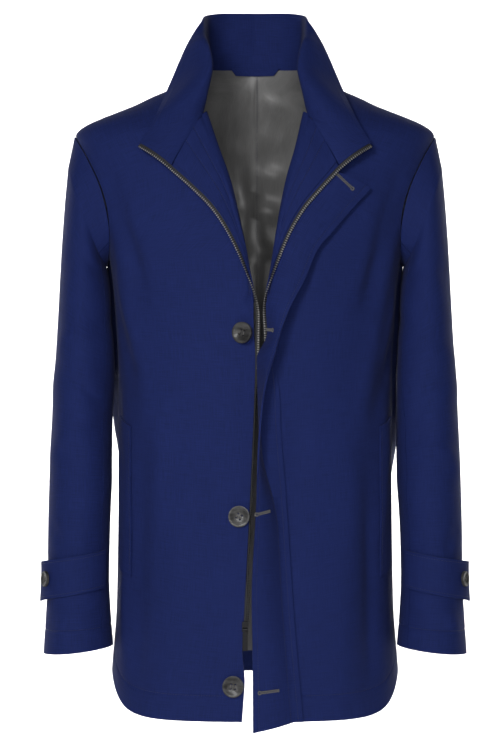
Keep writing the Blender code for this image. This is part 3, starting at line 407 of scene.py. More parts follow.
# Below the zip the right front's edge reaches further in
FOOT_REACH, FOOT_REACH_FADE = 0.0062, (-0.800, -0.750)

# Teeth and stops of the zip: length and thickness. Below a height the teeth get the slider's dark
# finish, as painted shade where the fly covers them
TOOTH_LENGTH, TOOTH_THICK, STOP_PITCH, STOP_THICK = 0.0036, 0.0023, 0.0050, 0.0022
TOOTH_SHARE, TOOTH_BEVEL, NOSE_NARROW, NOSE_THIN = 0.52, 0.00028, 0.35, 0.30
SHADED_TEETH_TOP = -0.40

# Shares of a tape's width: the tape, the teeth's line between its sides, and the stop's
TAPE_SHARES, ZIP_ENDS = np.array([0.0, 0.25, 0.5, 0.75]), 40
CHAIN_SHARES, STOP_SHARES = np.array([0.45, 0.62, 0.80]), np.array([0.30, 0.55, 0.85])

# Points nearer than this are one, and for a piece narrower than this the length and cut are not worked
# out
MERGE, NARROW = 1e-6, 0.010

# Angles up to which faces shade smoothly, and from which a button's edges are rounded
CLOTH_SMOOTH, BUTTON_SMOOTH, BUTTON_EDGE = math.radians(50), math.radians(45), math.radians(50)

# Scale at which a wave texture has one band a metre
WAVE_SCALE = 0.314159

# Stage: floor, lights with place, target, size and the setting of their power, and the camera
FLOOR_HALF, FLOOR_FAR, FLOOR_BEND, FLOOR_TOP = 9.0, 3.6, 0.8, 6.0
LAMPS = {
    "key": ((-0.9, -3.0, 0.4), (0.0, 0.0, -0.25), 0.8, "key_power"),
    "fill": ((0.15, -3.3, -0.1), (0.0, 0.0, -0.35), 0.8, "fill_power"),
    "backdrop_left": ((-2.4, 2.2, 0.9), (-0.4, 4.4, -0.4), 1.6, "backdrop_power"),
    "backdrop_right": ((2.4, 2.2, 0.9), (0.4, 4.4, -0.4), 1.6, "backdrop_power"),
}
CAMERA_X, CAMERA_Z, SENSOR = -0.00665, -0.4057, 24.0
PICTURE_ROWS, PIXEL = 750, 0.00133


def along(table, columns, name, at):
    """A named column read smoothly, without overshoot, along the table's first column."""
    knots = table[:, 0]
    values = table[:, columns.index(name)]
    gap = np.diff(knots)
    slope = np.diff(values) / gap
    tangent = np.empty_like(values)
    tangent[0], tangent[-1] = slope[0], slope[-1]
    same = slope[:-1] * slope[1:] > 0
    before, after = 2 * gap[1:] + gap[:-1], gap[1:] + 2 * gap[:-1]
    with np.errstate(divide="ignore", invalid="ignore"):
        mean = (before + after) / (before / slope[:-1] + after / slope[1:])
    tangent[1:-1] = np.where(same, mean, 0.0)
    at = np.clip(np.asarray(at, float), knots[0], knots[-1])
    cell = np.clip(np.searchsorted(knots, at, side="right") - 1, 0, len(knots) - 2)
    span = gap[cell]
    t = (at - knots[cell]) / span
    start = (2 * t ** 3 - 3 * t ** 2 + 1) * values[cell]
    leave = (t ** 3 - 2 * t ** 2 + t) * span * tangent[cell]
    end = (3 * t ** 2 - 2 * t ** 3) * values[cell + 1]
    arrive = (t ** 3 - t ** 2) * span * tangent[cell + 1]
    return start + leave + end + arrive


def ease(low, high, at):
    """Smooth step from 0 at low to 1 at high."""
    t = np.clip((np.asarray(at, float) - low) / (high - low), 0.0, 1.0)
    return t * t * (3 - 2 * t)


def bell(away, width):
    """Smooth bump of height 1 that falls off over a width."""
    return np.exp(-(away / width) ** 2)


def read(at, run, points):
    """Points read at distances along their run."""
    return np.stack([np.interp(at, run, points[:, axis]) for axis in range(3)], axis=-1)


def unit(vectors):
    return vectors / np.linalg.norm(vectors, axis=-1, keepdims=True)


def power(value, exponent):
    return np.sign(value) * np.abs(value) ** exponent


def section(side, face, angle, z):
    """Point on the plain body form: angle 0 is the side line, a quarter turn is the middle."""
    shape = 2.0 / along(BODY, BODY_COLUMNS, "squareness", z)
    depth = along(BODY, BODY_COLUMNS, "front" if face == FRONT else "back", z)
    x = side * along(BODY, BODY_COLUMNS, "half_width", z) * power(np.cos(angle), shape)
    y = face * depth * power(np.sin(angle), shape)
    return np.stack(np.broadcast_arrays(x, y, z), axis=-1)


def normal(side, face, angle, z):
    """Outward direction of the plain body form."""
    step_angle, step_z = 0.02, 0.002
    across = section(side, face, angle + step_angle, z) - section(side, face, angle - step_angle, z)
    upward = section(side, face, angle, z + step_z) - section(side, face, angle, z - step_z)
    return unit(np.cross(across, upward)) * side * face


def drape(side, face, angle, z):
    """Depth of the hanging folds and creases at a place on the body."""
    total = np.zeros(np.broadcast(angle, z).shape)
    for middle, lean, top, bottom, width, depth in (FRONT_FOLDS if face == FRONT else BACK_FOLDS):
        down = (top - z) / (top - bottom)
        fade = ease(*FOLD_STARTS, down) * (1 - ease(*FOLD_ENDS, down))
        total = total + depth * fade * bell(angle - middle - lean * down, width)
    fine = creases(BODY_CREASES[side, face], BODY_SPAN * angle, z)
    if face == FRONT:
        fine = fine * (1 - ease(*CREASE_EDGE, angle))
    return total * ease(0.0, FOLD_SIDE, angle) + fine * ease(0.0, CREASE_SIDE, angle)


def form(side, face, angle, z, lift=0.0):
    """Point on the draped body, moved out by lift."""
    out = drape(side, face, angle, z) + lift
    return section(side, face, angle, z) + np.asarray(out)[..., None] * normal(side, face, angle, z)


def angle_at(out, z):
    """Angle of the front form at a distance out from the middle."""
    ratio = np.clip(out / along(BODY, BODY_COLUMNS, "half_width", z), -1.0, 1.0)
    return np.arccos(power(ratio, along(BODY, BODY_COLUMNS, "squareness", z) / 2))


def hem(face, angle):
    low = HEM_FRONT if face == FRONT else HEM_BACK
    return low + (HEM_SIDE - low) * bell(angle, HEM_TURN)


def armhole(face, turn, room=0.0):
    """Angle and height on the armhole oval: turn 0 is the pit, pi the shoulder tip."""
    wide = (ARMHOLE_FRONT if face == FRONT else ARMHOLE_BACK) * np.sin(turn) + room / ARMHOLE_RADIUS
    middle, half = (PIT + SHOULDER_TIP) / 2, (SHOULDER_TIP - PIT) / 2 + room
    return wide, middle - half * np.cos(turn)


def seam_angle(face, z):
    """Angle that leaves half a seam's gap beside the side line."""
    depth = along(BODY, BODY_COLUMNS, "front" if face == FRONT else "back", z)
    return (0.6 * SEAM / depth) ** (along(BODY, BODY_COLUMNS, "squareness", z) / 2)


def outer_edge(face, row):
    """Angle and height of a panel's outer side: side seam, then armhole up to the shoulder tip."""
    turn = np.pi * np.clip((row - PIT_ROW) / (1 - PIT_ROW), 0.0, 1.0)
    angle, z = armhole(face, turn, ARMHOLE_ROOM)
    pit = armhole(face, 0.0, ARMHOLE_ROOM)[1]
    z = np.where(row < PIT_ROW, HEM_SIDE + (pit - HEM_SIDE) * row / PIT_ROW, z)
    angle = np.where(row < PIT_ROW, 0.0, angle) * (row < 1.0)
    return np.maximum(angle, seam_angle(face, z)), z


def reach(turn):
    """How far the turned edge comes inwards of the line where it starts to turn."""
    flat = EDGE_STRIP + ZIP_WIDTH + ZIP_GAP
    folded = FOLD_RADIUS + CLOTH / 2 + SEAM + FACING
    swing = FOLD_RADIUS * np.sin(turn) + flat * np.cos(turn) + FACING * np.sin(turn)
    return np.where(turn > np.pi / 2, folded, np.maximum(swing, folded))


def opening(side, name, z):
    """Column of the opening table for one side of the coat."""
    return along(OPENING, OPENING_COLUMNS, name + ("right" if side == RIGHT else "left"), z)


def inner_edge(side, row):
    """Angle and height of a front's inner side: the edge, the fold of the turned-out front, then
    the neck line up to the shoulder seam.
    """
    z = np.interp(row, [0.0, PIT_ROW, GORGE_ROW, 1.0], [HEM_FRONT, PIT, GORGE, 0.0])
    out = side * opening(side, "", z) + reach(opening(side, "turn_", z))
    angle = angle_at(out, z)
    up = np.clip((row - GORGE_ROW) / (1 - GORGE_ROW), 0.0, 1.0)
    neck = angle_at(out, np.minimum(z, GORGE)) * (1 - up)
    out = out + (NECK_SIDE - out) * up
    wide = out / np.cos(neck) ** (2 / along(BODY, BODY_COLUMNS, "squareness", z))
    heights = np.linspace(0.0, GORGE - 0.01, 60)
    neck_z = np.interp(wide, along(BODY, BODY_COLUMNS, "half_width", heights), heights)
    above = row > GORGE_ROW
    angle = np.where(above, neck, angle)
    z = np.where(above, neck_z, z)
    return np.maximum(angle, NECK_SEAM * seam_angle(FRONT, z)), z


def panel(face, outer, inner, across):
    """Angle and height of a panel's points between its outer and its inner side."""
    angle = outer[0][:, None] + (inner[0] - outer[0])[:, None] * across
    z = outer[1][:, None] + (inner[1] - outer[1])[:, None] * across
    level = HEM_SIDE + ((HEM_FRONT if face == FRONT else HEM_BACK) - HEM_SIDE) * across
    return angle, z + (hem(face, angle) - level) * (1 - ease(0.0, HEM_REACH, z - level))


def front_body(side, rows, across, lift=0.0):
    """Front on the body form: across 0 is the side seam and armhole, 1 the inner side."""
    angle, z = panel(FRONT, outer_edge(FRONT, rows), inner_edge(side, rows), across)
    return form(side, FRONT, angle, z, np.full(z.shape, lift))


def turned_edge(side, rows, steps):
    """Front past its inner side, as a curve in each row: flat below, turned out over the chest.

    Steps 0 to 1 run from the inner side to the zip edge.
    """
    start = front_body(side, rows, np.array([0.98, 1.0]))
    inward = unit(start[:, 1] - start[:, 0])
    start = start[:, 1]
    angle, z = inner_edge(side, rows)
    out = normal(side, FRONT, angle, z)
    turn = opening(side, "turn_", z)
    blend = ease(*LAPEL_BLEND, z)
    middle = side * 0.5 * (opening(RIGHT, "", z) + opening(LEFT, "", z))
    flat_out = side * opening(side, "", z) + ZIP_WIDTH + ZIP_GAP
    edge_out = flat_out + (middle + along(LAPEL, LAPEL_COLUMNS, "edge_out", z) - flat_out) * blend
    edge_z = z + (along(LAPEL, LAPEL_COLUMNS, "edge_z", z) - z) * blend
    edge_z = edge_z + (start[:, 2] - z) * (1 - blend)
    foot = angle_at(edge_out, edge_z)
    lift = along(LAPEL, LAPEL_COLUMNS, "lift", z) * blend - drape(side, FRONT, foot, edge_z) * blend
    edge = form(side, FRONT, foot, edge_z, lift)
    over = ((1 - np.cos(turn)) / 2)[:, None]
    handle = (1 - over) * np.linalg.norm(edge - start, axis=1)[:, None] / 3 + over * FOLD_HANDLE
    first = start + handle * inward
    flat = start + (edge - start) * 2 / 3
    high = ease(GORGE - FOLD_RISE_FROM, GORGE - FOLD_RISE_TO, z)[:, None]
    rise = 2 * FOLD_RADIUS + FOLD_RISE * high
    second = flat + (start + rise * out + FOLD_HANDLE * inward - flat) * over
    t = np.asarray(steps, float)[None, :, None]
    start, first, second, edge = (point[:, None] for point in (start, first, second, edge))
    curve = ((1 - t) ** 3 * start + 3 * t * (1 - t) ** 2 * first
             + 3 * t ** 2 * (1 - t) * second + t ** 3 * edge)
    height = curve[..., 2]
    chest = section(side, FRONT, angle_at(side * curve[..., 0], height), height)[..., 1]
    clear = over * ease(*LAPEL_CLEAR, t[..., 0])
    limit = chest - 2 * FOLD_RADIUS * clear + LAPEL_SLACK * (1 - clear)
    curve[..., 1] = np.minimum(curve[..., 1], limit)
    return curve


def outward(side, grid):
    """Direction that a front's outer face looks at each point of its grid."""
    return -side * unit(np.cross(np.gradient(grid, axis=1), np.gradient(grid, axis=0)))


def over_edge(side, rows, distances, lift):
    """Strip along the zip edge at distances from it, positive beyond it, moved out by lift."""
    edge = turned_edge(side, rows, [0.9, 0.95, 1.0])
    onward = unit(edge[:, 2] - edge[:, 1])[:, None]
    raised = edge[:, 2] + lift * outward(side, edge)[:, 2]
    return raised[:, None] + np.atleast_2d(distances)[..., None] * onward


def back_half(side, rows, across, lift=0.0):
    """Half of the back, from the side seam and armhole to the middle and the back of the neck."""
    z = np.interp(rows, [0.0, PIT_ROW, GORGE_ROW, 1.0], [HEM_BACK, PIT, NECK_BACK, 0.0])
    neck = np.clip((rows - GORGE_ROW) / (1 - GORGE_ROW), 0.0, 1.0)
    inner = np.maximum(np.pi / 2 * (1 - neck) ** 1.3, NECK_SEAM * seam_angle(BACK, z)), z
    angle, z = panel(BACK, outer_edge(BACK, rows), inner, across)
    return form(side, BACK, angle, z, np.full(z.shape, lift))


def collar_base(at):
    """Seam of the collar: back of the neck, neck line of the front, then the top of the lapel."""
    up = np.interp(at, [0.0, NECK_POINT, GORGE_START], [GORGE_ROW, 1.0, GORGE_ROW])
    behind = back_half(LEFT, up, np.array([1.0]))[:, 0]
    ahead = front_body(LEFT, np.maximum(up, GORGE_ROW), np.array([1.0]))[:, 0]
    steps = np.linspace(0.0, 1.0, 41)
    lapel = turned_edge(LEFT, np.array([GORGE_ROW - 0.01, GORGE_ROW]), steps)
    lapel = (lapel - (SEAM + FACING) / 2 * outward(LEFT, lapel))[1]
    step = np.clip((at - GORGE_START) / (1.0 - GORGE_START), 0.0, 1.0)
    gorge = read(step, steps, lapel)
    at = at[:, None]
    return np.where(at < NECK_POINT, behind, np.where(at < GORGE_START, ahead, gorge))


def collar_sheet(stations, heights):
    """Collar from its base seam over its roll to its top edge, right end to left end."""
    side = np.where(stations < 0, RIGHT, LEFT)[:, None]
    at = np.abs(stations)
    roll, top = (np.stack([along(COLLAR, COLLAR_COLUMNS, f"{part}_{axis}", at) for axis in "xyz"],
                          axis=-1) for part in ("roll", "top"))
    base = collar_base(at)
    gap = COLLAR_SEAM * (1 + bell(at - GORGE_START - COLLAR_GAP_PAST, COLLAR_GAP_WIDTH))
    behind = BACK_SEAM + (gap - BACK_SEAM) * ease(BACK_SEAM_END, NECK_POINT, at)
    gap = np.where(at < NECK_POINT, behind, gap)
    base = base + gap[:, None] * unit(roll - base)
    control = 2 * roll - 0.5 * (base + top)
    t = np.asarray(heights)[None, :, None]
    base, control, top = (point[:, None] for point in (base, control, top))
    sheet = (1 - t) ** 2 * base + 2 * t * (1 - t) * control + t ** 2 * top
    return sheet * np.stack([side, np.ones_like(side), np.ones_like(side)], axis=-1)


def sleeve_plain(side, stations, turns):
    """Sleeve surface: turn 0 faces the body, a quarter turn the front, half a turn the outside."""
    station, turn = np.meshgrid(stations, turns, indexing="ij")
    row = {name: along(SLEEVE, SLEEVE_COLUMNS, name, station) for name in SLEEVE_COLUMNS}
    swing = np.cos(turn)
    x = side * (row["inner"] * (1 + swing) + row["outer"] * (1 - swing)) / 2
    z = (row["inner_z"] * (1 + swing) + row["outer_z"] * (1 - swing)) / 2
    tube = np.stack((x, -row["depth"] * np.sin(turn) - row["forward"], z), axis=-1)
    holes = []
    for face in (FRONT, BACK):
        angle, height = armhole(face, turn)
        holes.append(section(side, face, np.abs(angle), height))
    hole = np.where((np.sin(turn) >= 0)[..., None], *holes)
    hole = hole + np.array([side * SLEEVE_ROOM, 0.0, 0.0])
    first = SLEEVE[0, 0]
    share = ease(-first, first, station) * 2 - 1
    return hole + (tube - hole) * np.where(station < first, share, 1.0)[..., None]


def sleeve_normal(side, stations, turns):
    small = 0.004
    ahead, behind = (sleeve_plain(side, stations, turns + step) for step in (small, -small))
    low, high = np.maximum(stations - small, 0.0), np.minimum(stations + small, 1.0)
    along_arm = sleeve_plain(side, high, turns) - sleeve_plain(side, low, turns)
    return unit(np.cross(ahead - behind, along_arm)) * -side


def sleeve_sheet(side, stations, turns, lift=0.0):
    """Sleeve with its folds, moved out by lift."""
    station, turn = np.meshgrid(stations, turns, indexing="ij")
    out = np.zeros(station.shape) + lift
    for at, angle, width, spread, depth in SLEEVE_FOLDS:
        away = (turn - angle + np.pi) % (2 * np.pi) - np.pi
        lean = station - at - SLEEVE_FOLD_LEAN * away
        out = out + depth * np.exp(-(lean / width) ** 2 - (away / spread) ** 2)
    out = out + creases(SLEEVE_CREASES[side], SLEEVE_SPAN * turn, SLEEVE_LENGTH * station)
    plain = sleeve_plain(side, stations, turns)
    return plain + out[..., None] * sleeve_normal(side, stations, turns)


def panel_rows(low, middle, high, neck):
    """Rows of a panel: up the skirt, the waist and the armhole, then closer to the shoulder."""
    top = 1 - (1 - GORGE_ROW) * np.linspace(1.0, 0.0, neck + 1)[1:] ** 1.5
    return np.concatenate((np.linspace(0.0, WAIST_ROW, low + 1)[:-1],
                           np.linspace(WAIST_ROW, PIT_ROW, middle + 1)[:-1],
                           np.linspace(PIT_ROW, GORGE_ROW, high + 1), top))


def strap_middle(turn):
    """Station of the strap's middle line, lower towards its button."""
    return STRAP_MIDDLE + STRAP_SLANT * (turn - STRAP_FROM)


def strap_sheet(side, lift, columns, rows):
    """Strap round a sleeve, standing off towards its button."""
    turns = np.linspace(STRAP_FROM, STRAP_TO, columns)
    point = 1 - STRAP_POINT * ease(STRAP_TO - STRAP_POINT_TURN, STRAP_TO, turns)
    stand = STRAP_STAND * bell(turns - STRAP_STAND_AT, STRAP_STAND_WIDTH)
    sheets = []
    for turn, half, out in zip(turns, STRAP_HALF * point, stand):
        heights = strap_middle(turn) + np.linspace(-half, half, rows)
        sheets.append(sleeve_sheet(side, heights, np.array([turn]), lift + out)[:, 0])
    return np.stack(sheets, axis=1)


def fly_sheet(rows, steps):
    """Fly from its seam beside the left zip edge, over that edge, then to its own free edge."""
    z = inner_edge(LEFT, rows)[1]
    inset = -FLY_SEAM + (FLY_SEAM - FLY_INSET) * ease(*FLY_SEAM_FADE, z)
    root = over_edge(LEFT, rows, np.stack((inset, inset / 2), axis=1), CLOTH + SEAM + FLY_ROOM)
    cover = FLY_COVER * (1 - ease(*FLY_COVER_TOP, z)) * ease(*FLY_COVER_FOOT, z)
    start = over_edge(LEFT, rows, cover[:, None], CLOTH + SEAM + 2 * FLY_ROOM)
    edge_x, edge_z, stand = (along(FLY, FLY_COLUMNS, name, z) for name in FLY_COLUMNS[1:])
    edge = section(LEFT, FRONT, angle_at(edge_x, edge_z), edge_z)
    edge = edge - np.stack((0 * z, stand, 0 * z), axis=-1)
    step = np.asarray(steps)[None, :, None]
    out = normal(LEFT, FRONT, *inner_edge(LEFT, rows))[:, None]
    bulge = FLY_BULGE * np.sin(np.pi * step) * out
    sheet = np.concatenate((root, start + (edge[:, None] - start) * step + bulge), axis=1)
    near = np.concatenate((np.ones(2), 1 - np.asarray(steps)))[None, :]
    sheet[..., 0] -= FLY_MEET * bell(z[:, None] - MEET_HEIGHT, FLY_MEET_WIDTH) * near
    sheet[..., 0] -= FLY_WAIST_SHARE * FLY_MEET * bell(z[:, None] - FLY_WAIST, FLY_WAIST_WIDTH)
    return sheet


def smoothed(points, near):
    """Rows of a grid averaged with a number of neighbours on each side."""
    first, last = (row.repeat(near, axis=0) for row in (points[:1], points[-1:]))
    padded = np.concatenate((first, points, last))
    return sum(padded[n:n + len(points)] for n in range(2 * near + 1)) / (2 * near + 1)


def zip_sheet(side, rows, shares, ends):
    """Tape beyond the zip edge, up the front and the collar's end, at shares of its width."""
    rows = rows[inner_edge(side, rows)[1] > ZIP_FOOT - ZIP_BELOW]
    z = inner_edge(side, rows)[1][:, None]
    across = ZIP_GAP * TAPE_TUCK + shares * ZIP_WIDTH
    under = 0 * z
    if side == RIGHT:
        under = ZIP_UNDER * (1 - ease(*ZIP_UNDER_TOP, z)) * ease(*ZIP_UNDER_FOOT, z)
    away = across + ZIP_GAP * bell(z - ZIP_TWIST, ZIP_TWIST_WIDTH) - under
    front = over_edge(side, rows, away, -(FACING + SEAM) / 2 - ZIP_UNDER_SINK * under)
    blend = ease(*ZIP_SMOOTH_FOOT, z) * (1 - ease(*ZIP_SMOOTH_TOP, z))
    front = front + (smoothed(front, ZIP_SMOOTH_ROWS) - front) * blend[..., None]
    front[..., 0] -= side * ZIP_MEET * bell(z - MEET_HEIGHT, ZIP_MEET_WIDTH)
    end = collar_sheet(np.array([0.97, 1.0]) * side, np.linspace(0.12, 0.97, ends))
    onward = unit(end[1] - end[0])[:, None]
    return np.concatenate((front, end[1][:, None] + across[None, :, None] * onward))


def rest_height(ground, centre, facing, radius):
    """How far the cloth under a button reaches along its facing."""
    away = ground.reshape(-1, 3) - centre
    height = away @ facing
    near = np.linalg.norm(away - height[:, None] * facing, axis=1) < radius * BUTTON_REST
    return height[near].max()


def button_seats():
    """Name, place and facing of each button, with its radius and thickness."""
    rows = np.linspace(0.02, PIT_ROW, 180)
    ground = np.concatenate((front_body(RIGHT, rows, np.linspace(0.6, 1.0, 14)),
                             turned_edge(RIGHT, rows, np.linspace(0.1, 1.0, 16))), axis=1)
    for number, (x, z) in enumerate(FRONT_BUTTONS, start=2):
        at = angle_at(np.array([-x]), np.array([z])), np.array([z])
        centre, facing = section(RIGHT, FRONT, *at)[0], normal(RIGHT, FRONT, *at)[0]
        lift = rest_height(ground, centre, facing, BUTTON_RADIUS) + CLOTH / 2 + SEAM + BUTTON_ROOM
        yield f"button_front_{number}", centre + lift * facing, facing, BUTTON_RADIUS, BUTTON_THICK
    for side, name in SIDES:
        at = np.array([strap_middle(SLEEVE_BUTTON_ANGLE)]), np.array([SLEEVE_BUTTON_ANGLE])
        centre, facing = sleeve_sheet(side, *at)[0, 0], sleeve_normal(side, *at)[0, 0]
        ground = strap_sheet(side, STRAP_OVER, 73, 17)
        lift = rest_height(ground, centre, facing, SLEEVE_BUTTON_RADIUS) + STRAP_WALL / 2 + SEAM
        place = centre + lift * facing
        yield f"button_sleeve_{name}", place, facing, SLEEVE_BUTTON_RADIUS, SLEEVE_BUTTON_THICK


def welt_sheet(side):
    """Welt over a pocket, its ends slanted."""
    over = CLOTH / 2 + SEAM + WELT_WALL / 2 + WELT_ROOM
    angle = np.linspace(*WELT_ANGLES, WELT_COLUMNS)[None, :]
    z = np.linspace(*WELT_SPAN, WELT_ROWS)[:, None]
    z = z - WELT_SLANT * (angle - WELT_ANGLES[0]) / (WELT_ANGLES[1] - WELT_ANGLES[0])
    angle = np.broadcast_to(angle, z.shape)
    return form(side, FRONT, angle, z, np.full(z.shape, over))


def creases(table, across, height):
    """Depth of single creases, each a slightly bowed line that fades at both ends."""
    total = np.zeros(np.broadcast(across, height).shape)
    for from_across, from_height, to_across, to_height, width, depth in table:
        run, rise = to_across - from_across, to_height - from_height
        length = math.hypot(run, rise)
        share = ((across - from_across) * run + (height - from_height) * rise) / length ** 2
        away = ((across - from_across) * rise - (height - from_height) * run) / length
        bow = CREASE_BOW * length * np.sin(np.pi * np.clip(share, 0.0, 1.0))
        fade = ease(*CREASE_STARTS, share) * (1 - ease(*CREASE_ENDS, share))
        total = total + depth * fade * bell(away - bow, width)
    return total


def lengths(points):
    """Distance along each row, and along the columns on average, for a map in metres."""
    across = np.linalg.norm(np.diff(points, axis=1), axis=2)
    upward = np.linalg.norm(np.diff(points, axis=0), axis=2).mean(axis=1)
    u = np.concatenate((np.zeros((len(points), 1)), np.cumsum(across, axis=1)), axis=1)
    v = np.concatenate(([0.0], np.cumsum(upward)))[:, None] * np.ones_like(u)
    return u, v


def area(points):
    """Surface of a grid of points."""
    first = np.cross(points[1:, :-1] - points[:-1, :-1], points[:-1, 1:] - points[:-1, :-1])
    second = np.cross(points[1:, :-1] - points[1:, 1:], points[:-1, 1:] - points[1:, 1:])
    return 0.5 * (np.linalg.norm(first, axis=2).sum() + np.linalg.norm(second, axis=2).sum())


def grid_normal(points):
    """Unit normal of a grid at each of its points."""
    return unit(np.cross(np.gradient(points, axis=1), np.gradient(points, axis=0)))


def dents(values, places, depth, width):
    """Depth of stitched lines at places along a row of values."""
    return -depth * sum(bell(values - place, width) for place in places)


def with_lines(values, places, width):
    """Values with more of them beside each place, so that a stitched line has its form there."""
    beside = (-2.0, -1.0, -0.4, 0.0, 0.4, 1.0, 2.0)
    extra = [place + step * width for place in places for step in beside]
    every = np.unique(np.round(np.concatenate((values, extra)), 7))
    return every[(every >= values[0]) & (every <= values[-1])]


def select_only(item):
    bpy.ops.object.select_all(action="DESELECT")
    item.select_set(True)
    bpy.context.view_layer.objects.active = item


def keep(item, solid):
    """Ride a piece on the coat, in the place of a solid if it has one, and hide that solid."""
    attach(item, "coat")
    if solid:
        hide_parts(solid)
    return item


def link(name, mesh, materials):
    item = bpy.data.objects.new(name, mesh)
    bpy.context.scene.collection.objects.link(item)
    for finish in materials:
        mesh.materials.append(finish)
    return item


def sewn(name, solid, patches, wall, flip, materials):
    """Cloth piece from grids that share sides: a thin wall with a map in metres.

    Two finishes are its outer and inner face, and four those of two grids in turn.
    """
    shape = bmesh.new()
    chart = shape.loops.layers.uv.new("cloth")
    for number, points in enumerate(patches):
        columns = points.shape[1]
        u, v = (values.ravel() for values in lengths(points))
        corners = [shape.verts.new(point) for point in points.reshape(-1, 3)]
        for row in range(len(points) - 1):
            for column in range(columns - 1):
                first = row * columns + column
                quad = [first, first + 1, first + columns + 1, first + columns]
                if flip:
                    quad.reverse()
                face = shape.faces.new([corners[corner] for corner in quad])
                face.material_index = 2 * number if len(materials) > 2 else 0
                for loop, corner in zip(face.loops, quad):
                    loop[chart].uv = (u[corner], v[corner])
    bmesh.ops.remove_doubles(shape, verts=shape.verts, dist=MERGE)
    mesh = bpy.data.meshes.new(name)
    shape.to_mesh(mesh)
    shape.free()
    item = link(name, mesh, materials)
    select_only(item)
    thick = item.modifiers.new("wall", "SOLIDIFY")
    thick.thickness, thick.offset = wall, 0.0
    thick.material_offset = min(len(materials) - 1, 1)
    bpy.ops.object.modifier_apply(modifier="wall")
    bpy.ops.object.shade_smooth_by_angle(angle=CLOTH_SMOOTH)
    keep(item, solid)
    width = max(lengths(points)[0].max() for points in patches)
    if width < NARROW:
        return item
    # Two grids lie side by side: a front's differ in width, and the back's halves count as equal
    if len(patches) > 1 and len(patches[0]) != len(patches[1]):
        width = lengths(patches[0])[0].max() + lengths(patches[1])[0].max()
    elif len(patches) > 1:
        width = 2 * width
    length = max(lengths(points)[1].max() for points in patches)
    cut = sum(area(points) for points in patches)
    return item


def material(name, colour, roughness, metallic=0.0):
    """New material of one colour, with its node tree and its shader."""
    made = bpy.data.materials.new(name)
    made.use_nodes = True
    shader = made.node_tree.nodes["Principled BSDF"]
    shader.inputs["Base Color"].default_value = (*colour, 1.0)
    shader.inputs["Roughness"].default_value = roughness
    shader.inputs["Metallic"].default_value = metallic
    return made, made.node_tree, shader


def node(tree, kind, **inputs):
    """New shader node, each input linked to a socket or set to a value."""
    made = tree.nodes.new(kind)
    for name, value in inputs.items():
        name = name.replace("_", " ").title()
        if hasattr(value, "is_linked") or isinstance(value, bpy.types.NodeSocket):
            tree.links.new(value, made.inputs[name])
        else:
            made.inputs[name].default_value = value
    return made


def scaled(tree, source, scale):
    return node(tree, "ShaderNodeMapping", vector=source, scale=scale).outputs["Vector"]


def waves(tree, source, period, direction, distortion=0.0):
    """Bands across one direction with a period in metres."""
    made = node(tree, "ShaderNodeTexWave", vector=source, scale=WAVE_SCALE / period,
                distortion=distortion)
    made.wave_type, made.bands_direction = "BANDS", direction
    return made.outputs["Fac"]


def noise(tree, source, scale, detail=3.0):
    made = node(tree, "ShaderNodeTexNoise", vector=source, scale=scale, detail=detail)
    return made.outputs["Fac"]


def shaded(tree, shader, share, colour, shades, span=(0.0, 1.0)):
    """Base colour that goes from a dark to a light shade of one colour over a span of the share."""
    ramp = node(tree, "ShaderNodeValToRGB", fac=share)
    for element, shade, place in zip(ramp.color_ramp.elements, shades, span):
        element.color = (*(channel * shade for channel in colour), 1.0)
        element.position = place
    tree.links.new(ramp.outputs["Color"], shader.inputs["Base Color"])


def calc(tree, operation, first, second):
    made = tree.nodes.new("ShaderNodeMath")
    made.operation = operation
    for socket, value in zip(made.inputs, (first, second)):
        if isinstance(value, bpy.types.NodeSocket):
            tree.links.new(value, socket)
        else:
            socket.default_value = value
    return made.outputs[0]


def mixed(tree, first, first_share, second, second_share):
    """Sum of two values, each times its share."""
    return calc(tree, "ADD", calc(tree, "MULTIPLY", first, first_share),
                calc(tree, "MULTIPLY", second, second_share))


def roughened(tree, shader, share, low, high):
    """Roughness between low and high."""
    rough = node(tree, "ShaderNodeMapRange", value=share, to_min=low, to_max=high)
    tree.links.new(rough.outputs["Result"], shader.inputs["Roughness"])


def bump(tree, shader, height, strength, distance):
    made = node(tree, "ShaderNodeBump", height=height, strength=strength, distance=distance)
    tree.links.new(made.outputs["Normal"], shader.inputs["Normal"])


def yarns(tree, source, across, along_yarn, detail=2.0):
    """Uneven yarns, as noise that is drawn out one way."""
    return noise(tree, scaled(tree, source, (across, along_yarn, 1.0)), 1.0, detail)


def place_on(tree, output):
    """Place on a piece: its own map, or the object's coordinates."""
    return tree.nodes.new("ShaderNodeTexCoord").outputs[output]


def navy_cloth(settings):
    """Close plain weave with uneven yarns and a soft bloom."""
    made, tree, shader = material("navy_cloth", settings.cloth_colour, 0.82)
    chart = place_on(tree, "UV")
    weave = calc(tree, "MULTIPLY", waves(tree, chart, settings.weave, "X", 0.4),
                 waves(tree, chart, settings.weave, "Y", 0.4))
    slub = calc(tree, "ADD", yarns(tree, chart, 900.0, 45.0), yarns(tree, chart, 40.0, 900.0))
    cloudy = noise(tree, chart, 9.0, 4.0)
    share = mixed(tree, slub, 0.42, cloudy, 0.16)
    shaded(tree, shader, share, settings.cloth_colour, (0.72, 1.30), (0.30, 0.70))
    bump(tree, shader, mixed(tree, weave, 0.5, slub, 0.5), 0.30, 0.0004)
    shader.inputs["Sheen Weight"].default_value = 0.03
    shader.inputs["Sheen Roughness"].default_value = 0.45
    shader.inputs["Specular IOR Level"].default_value = 0.15
    return made


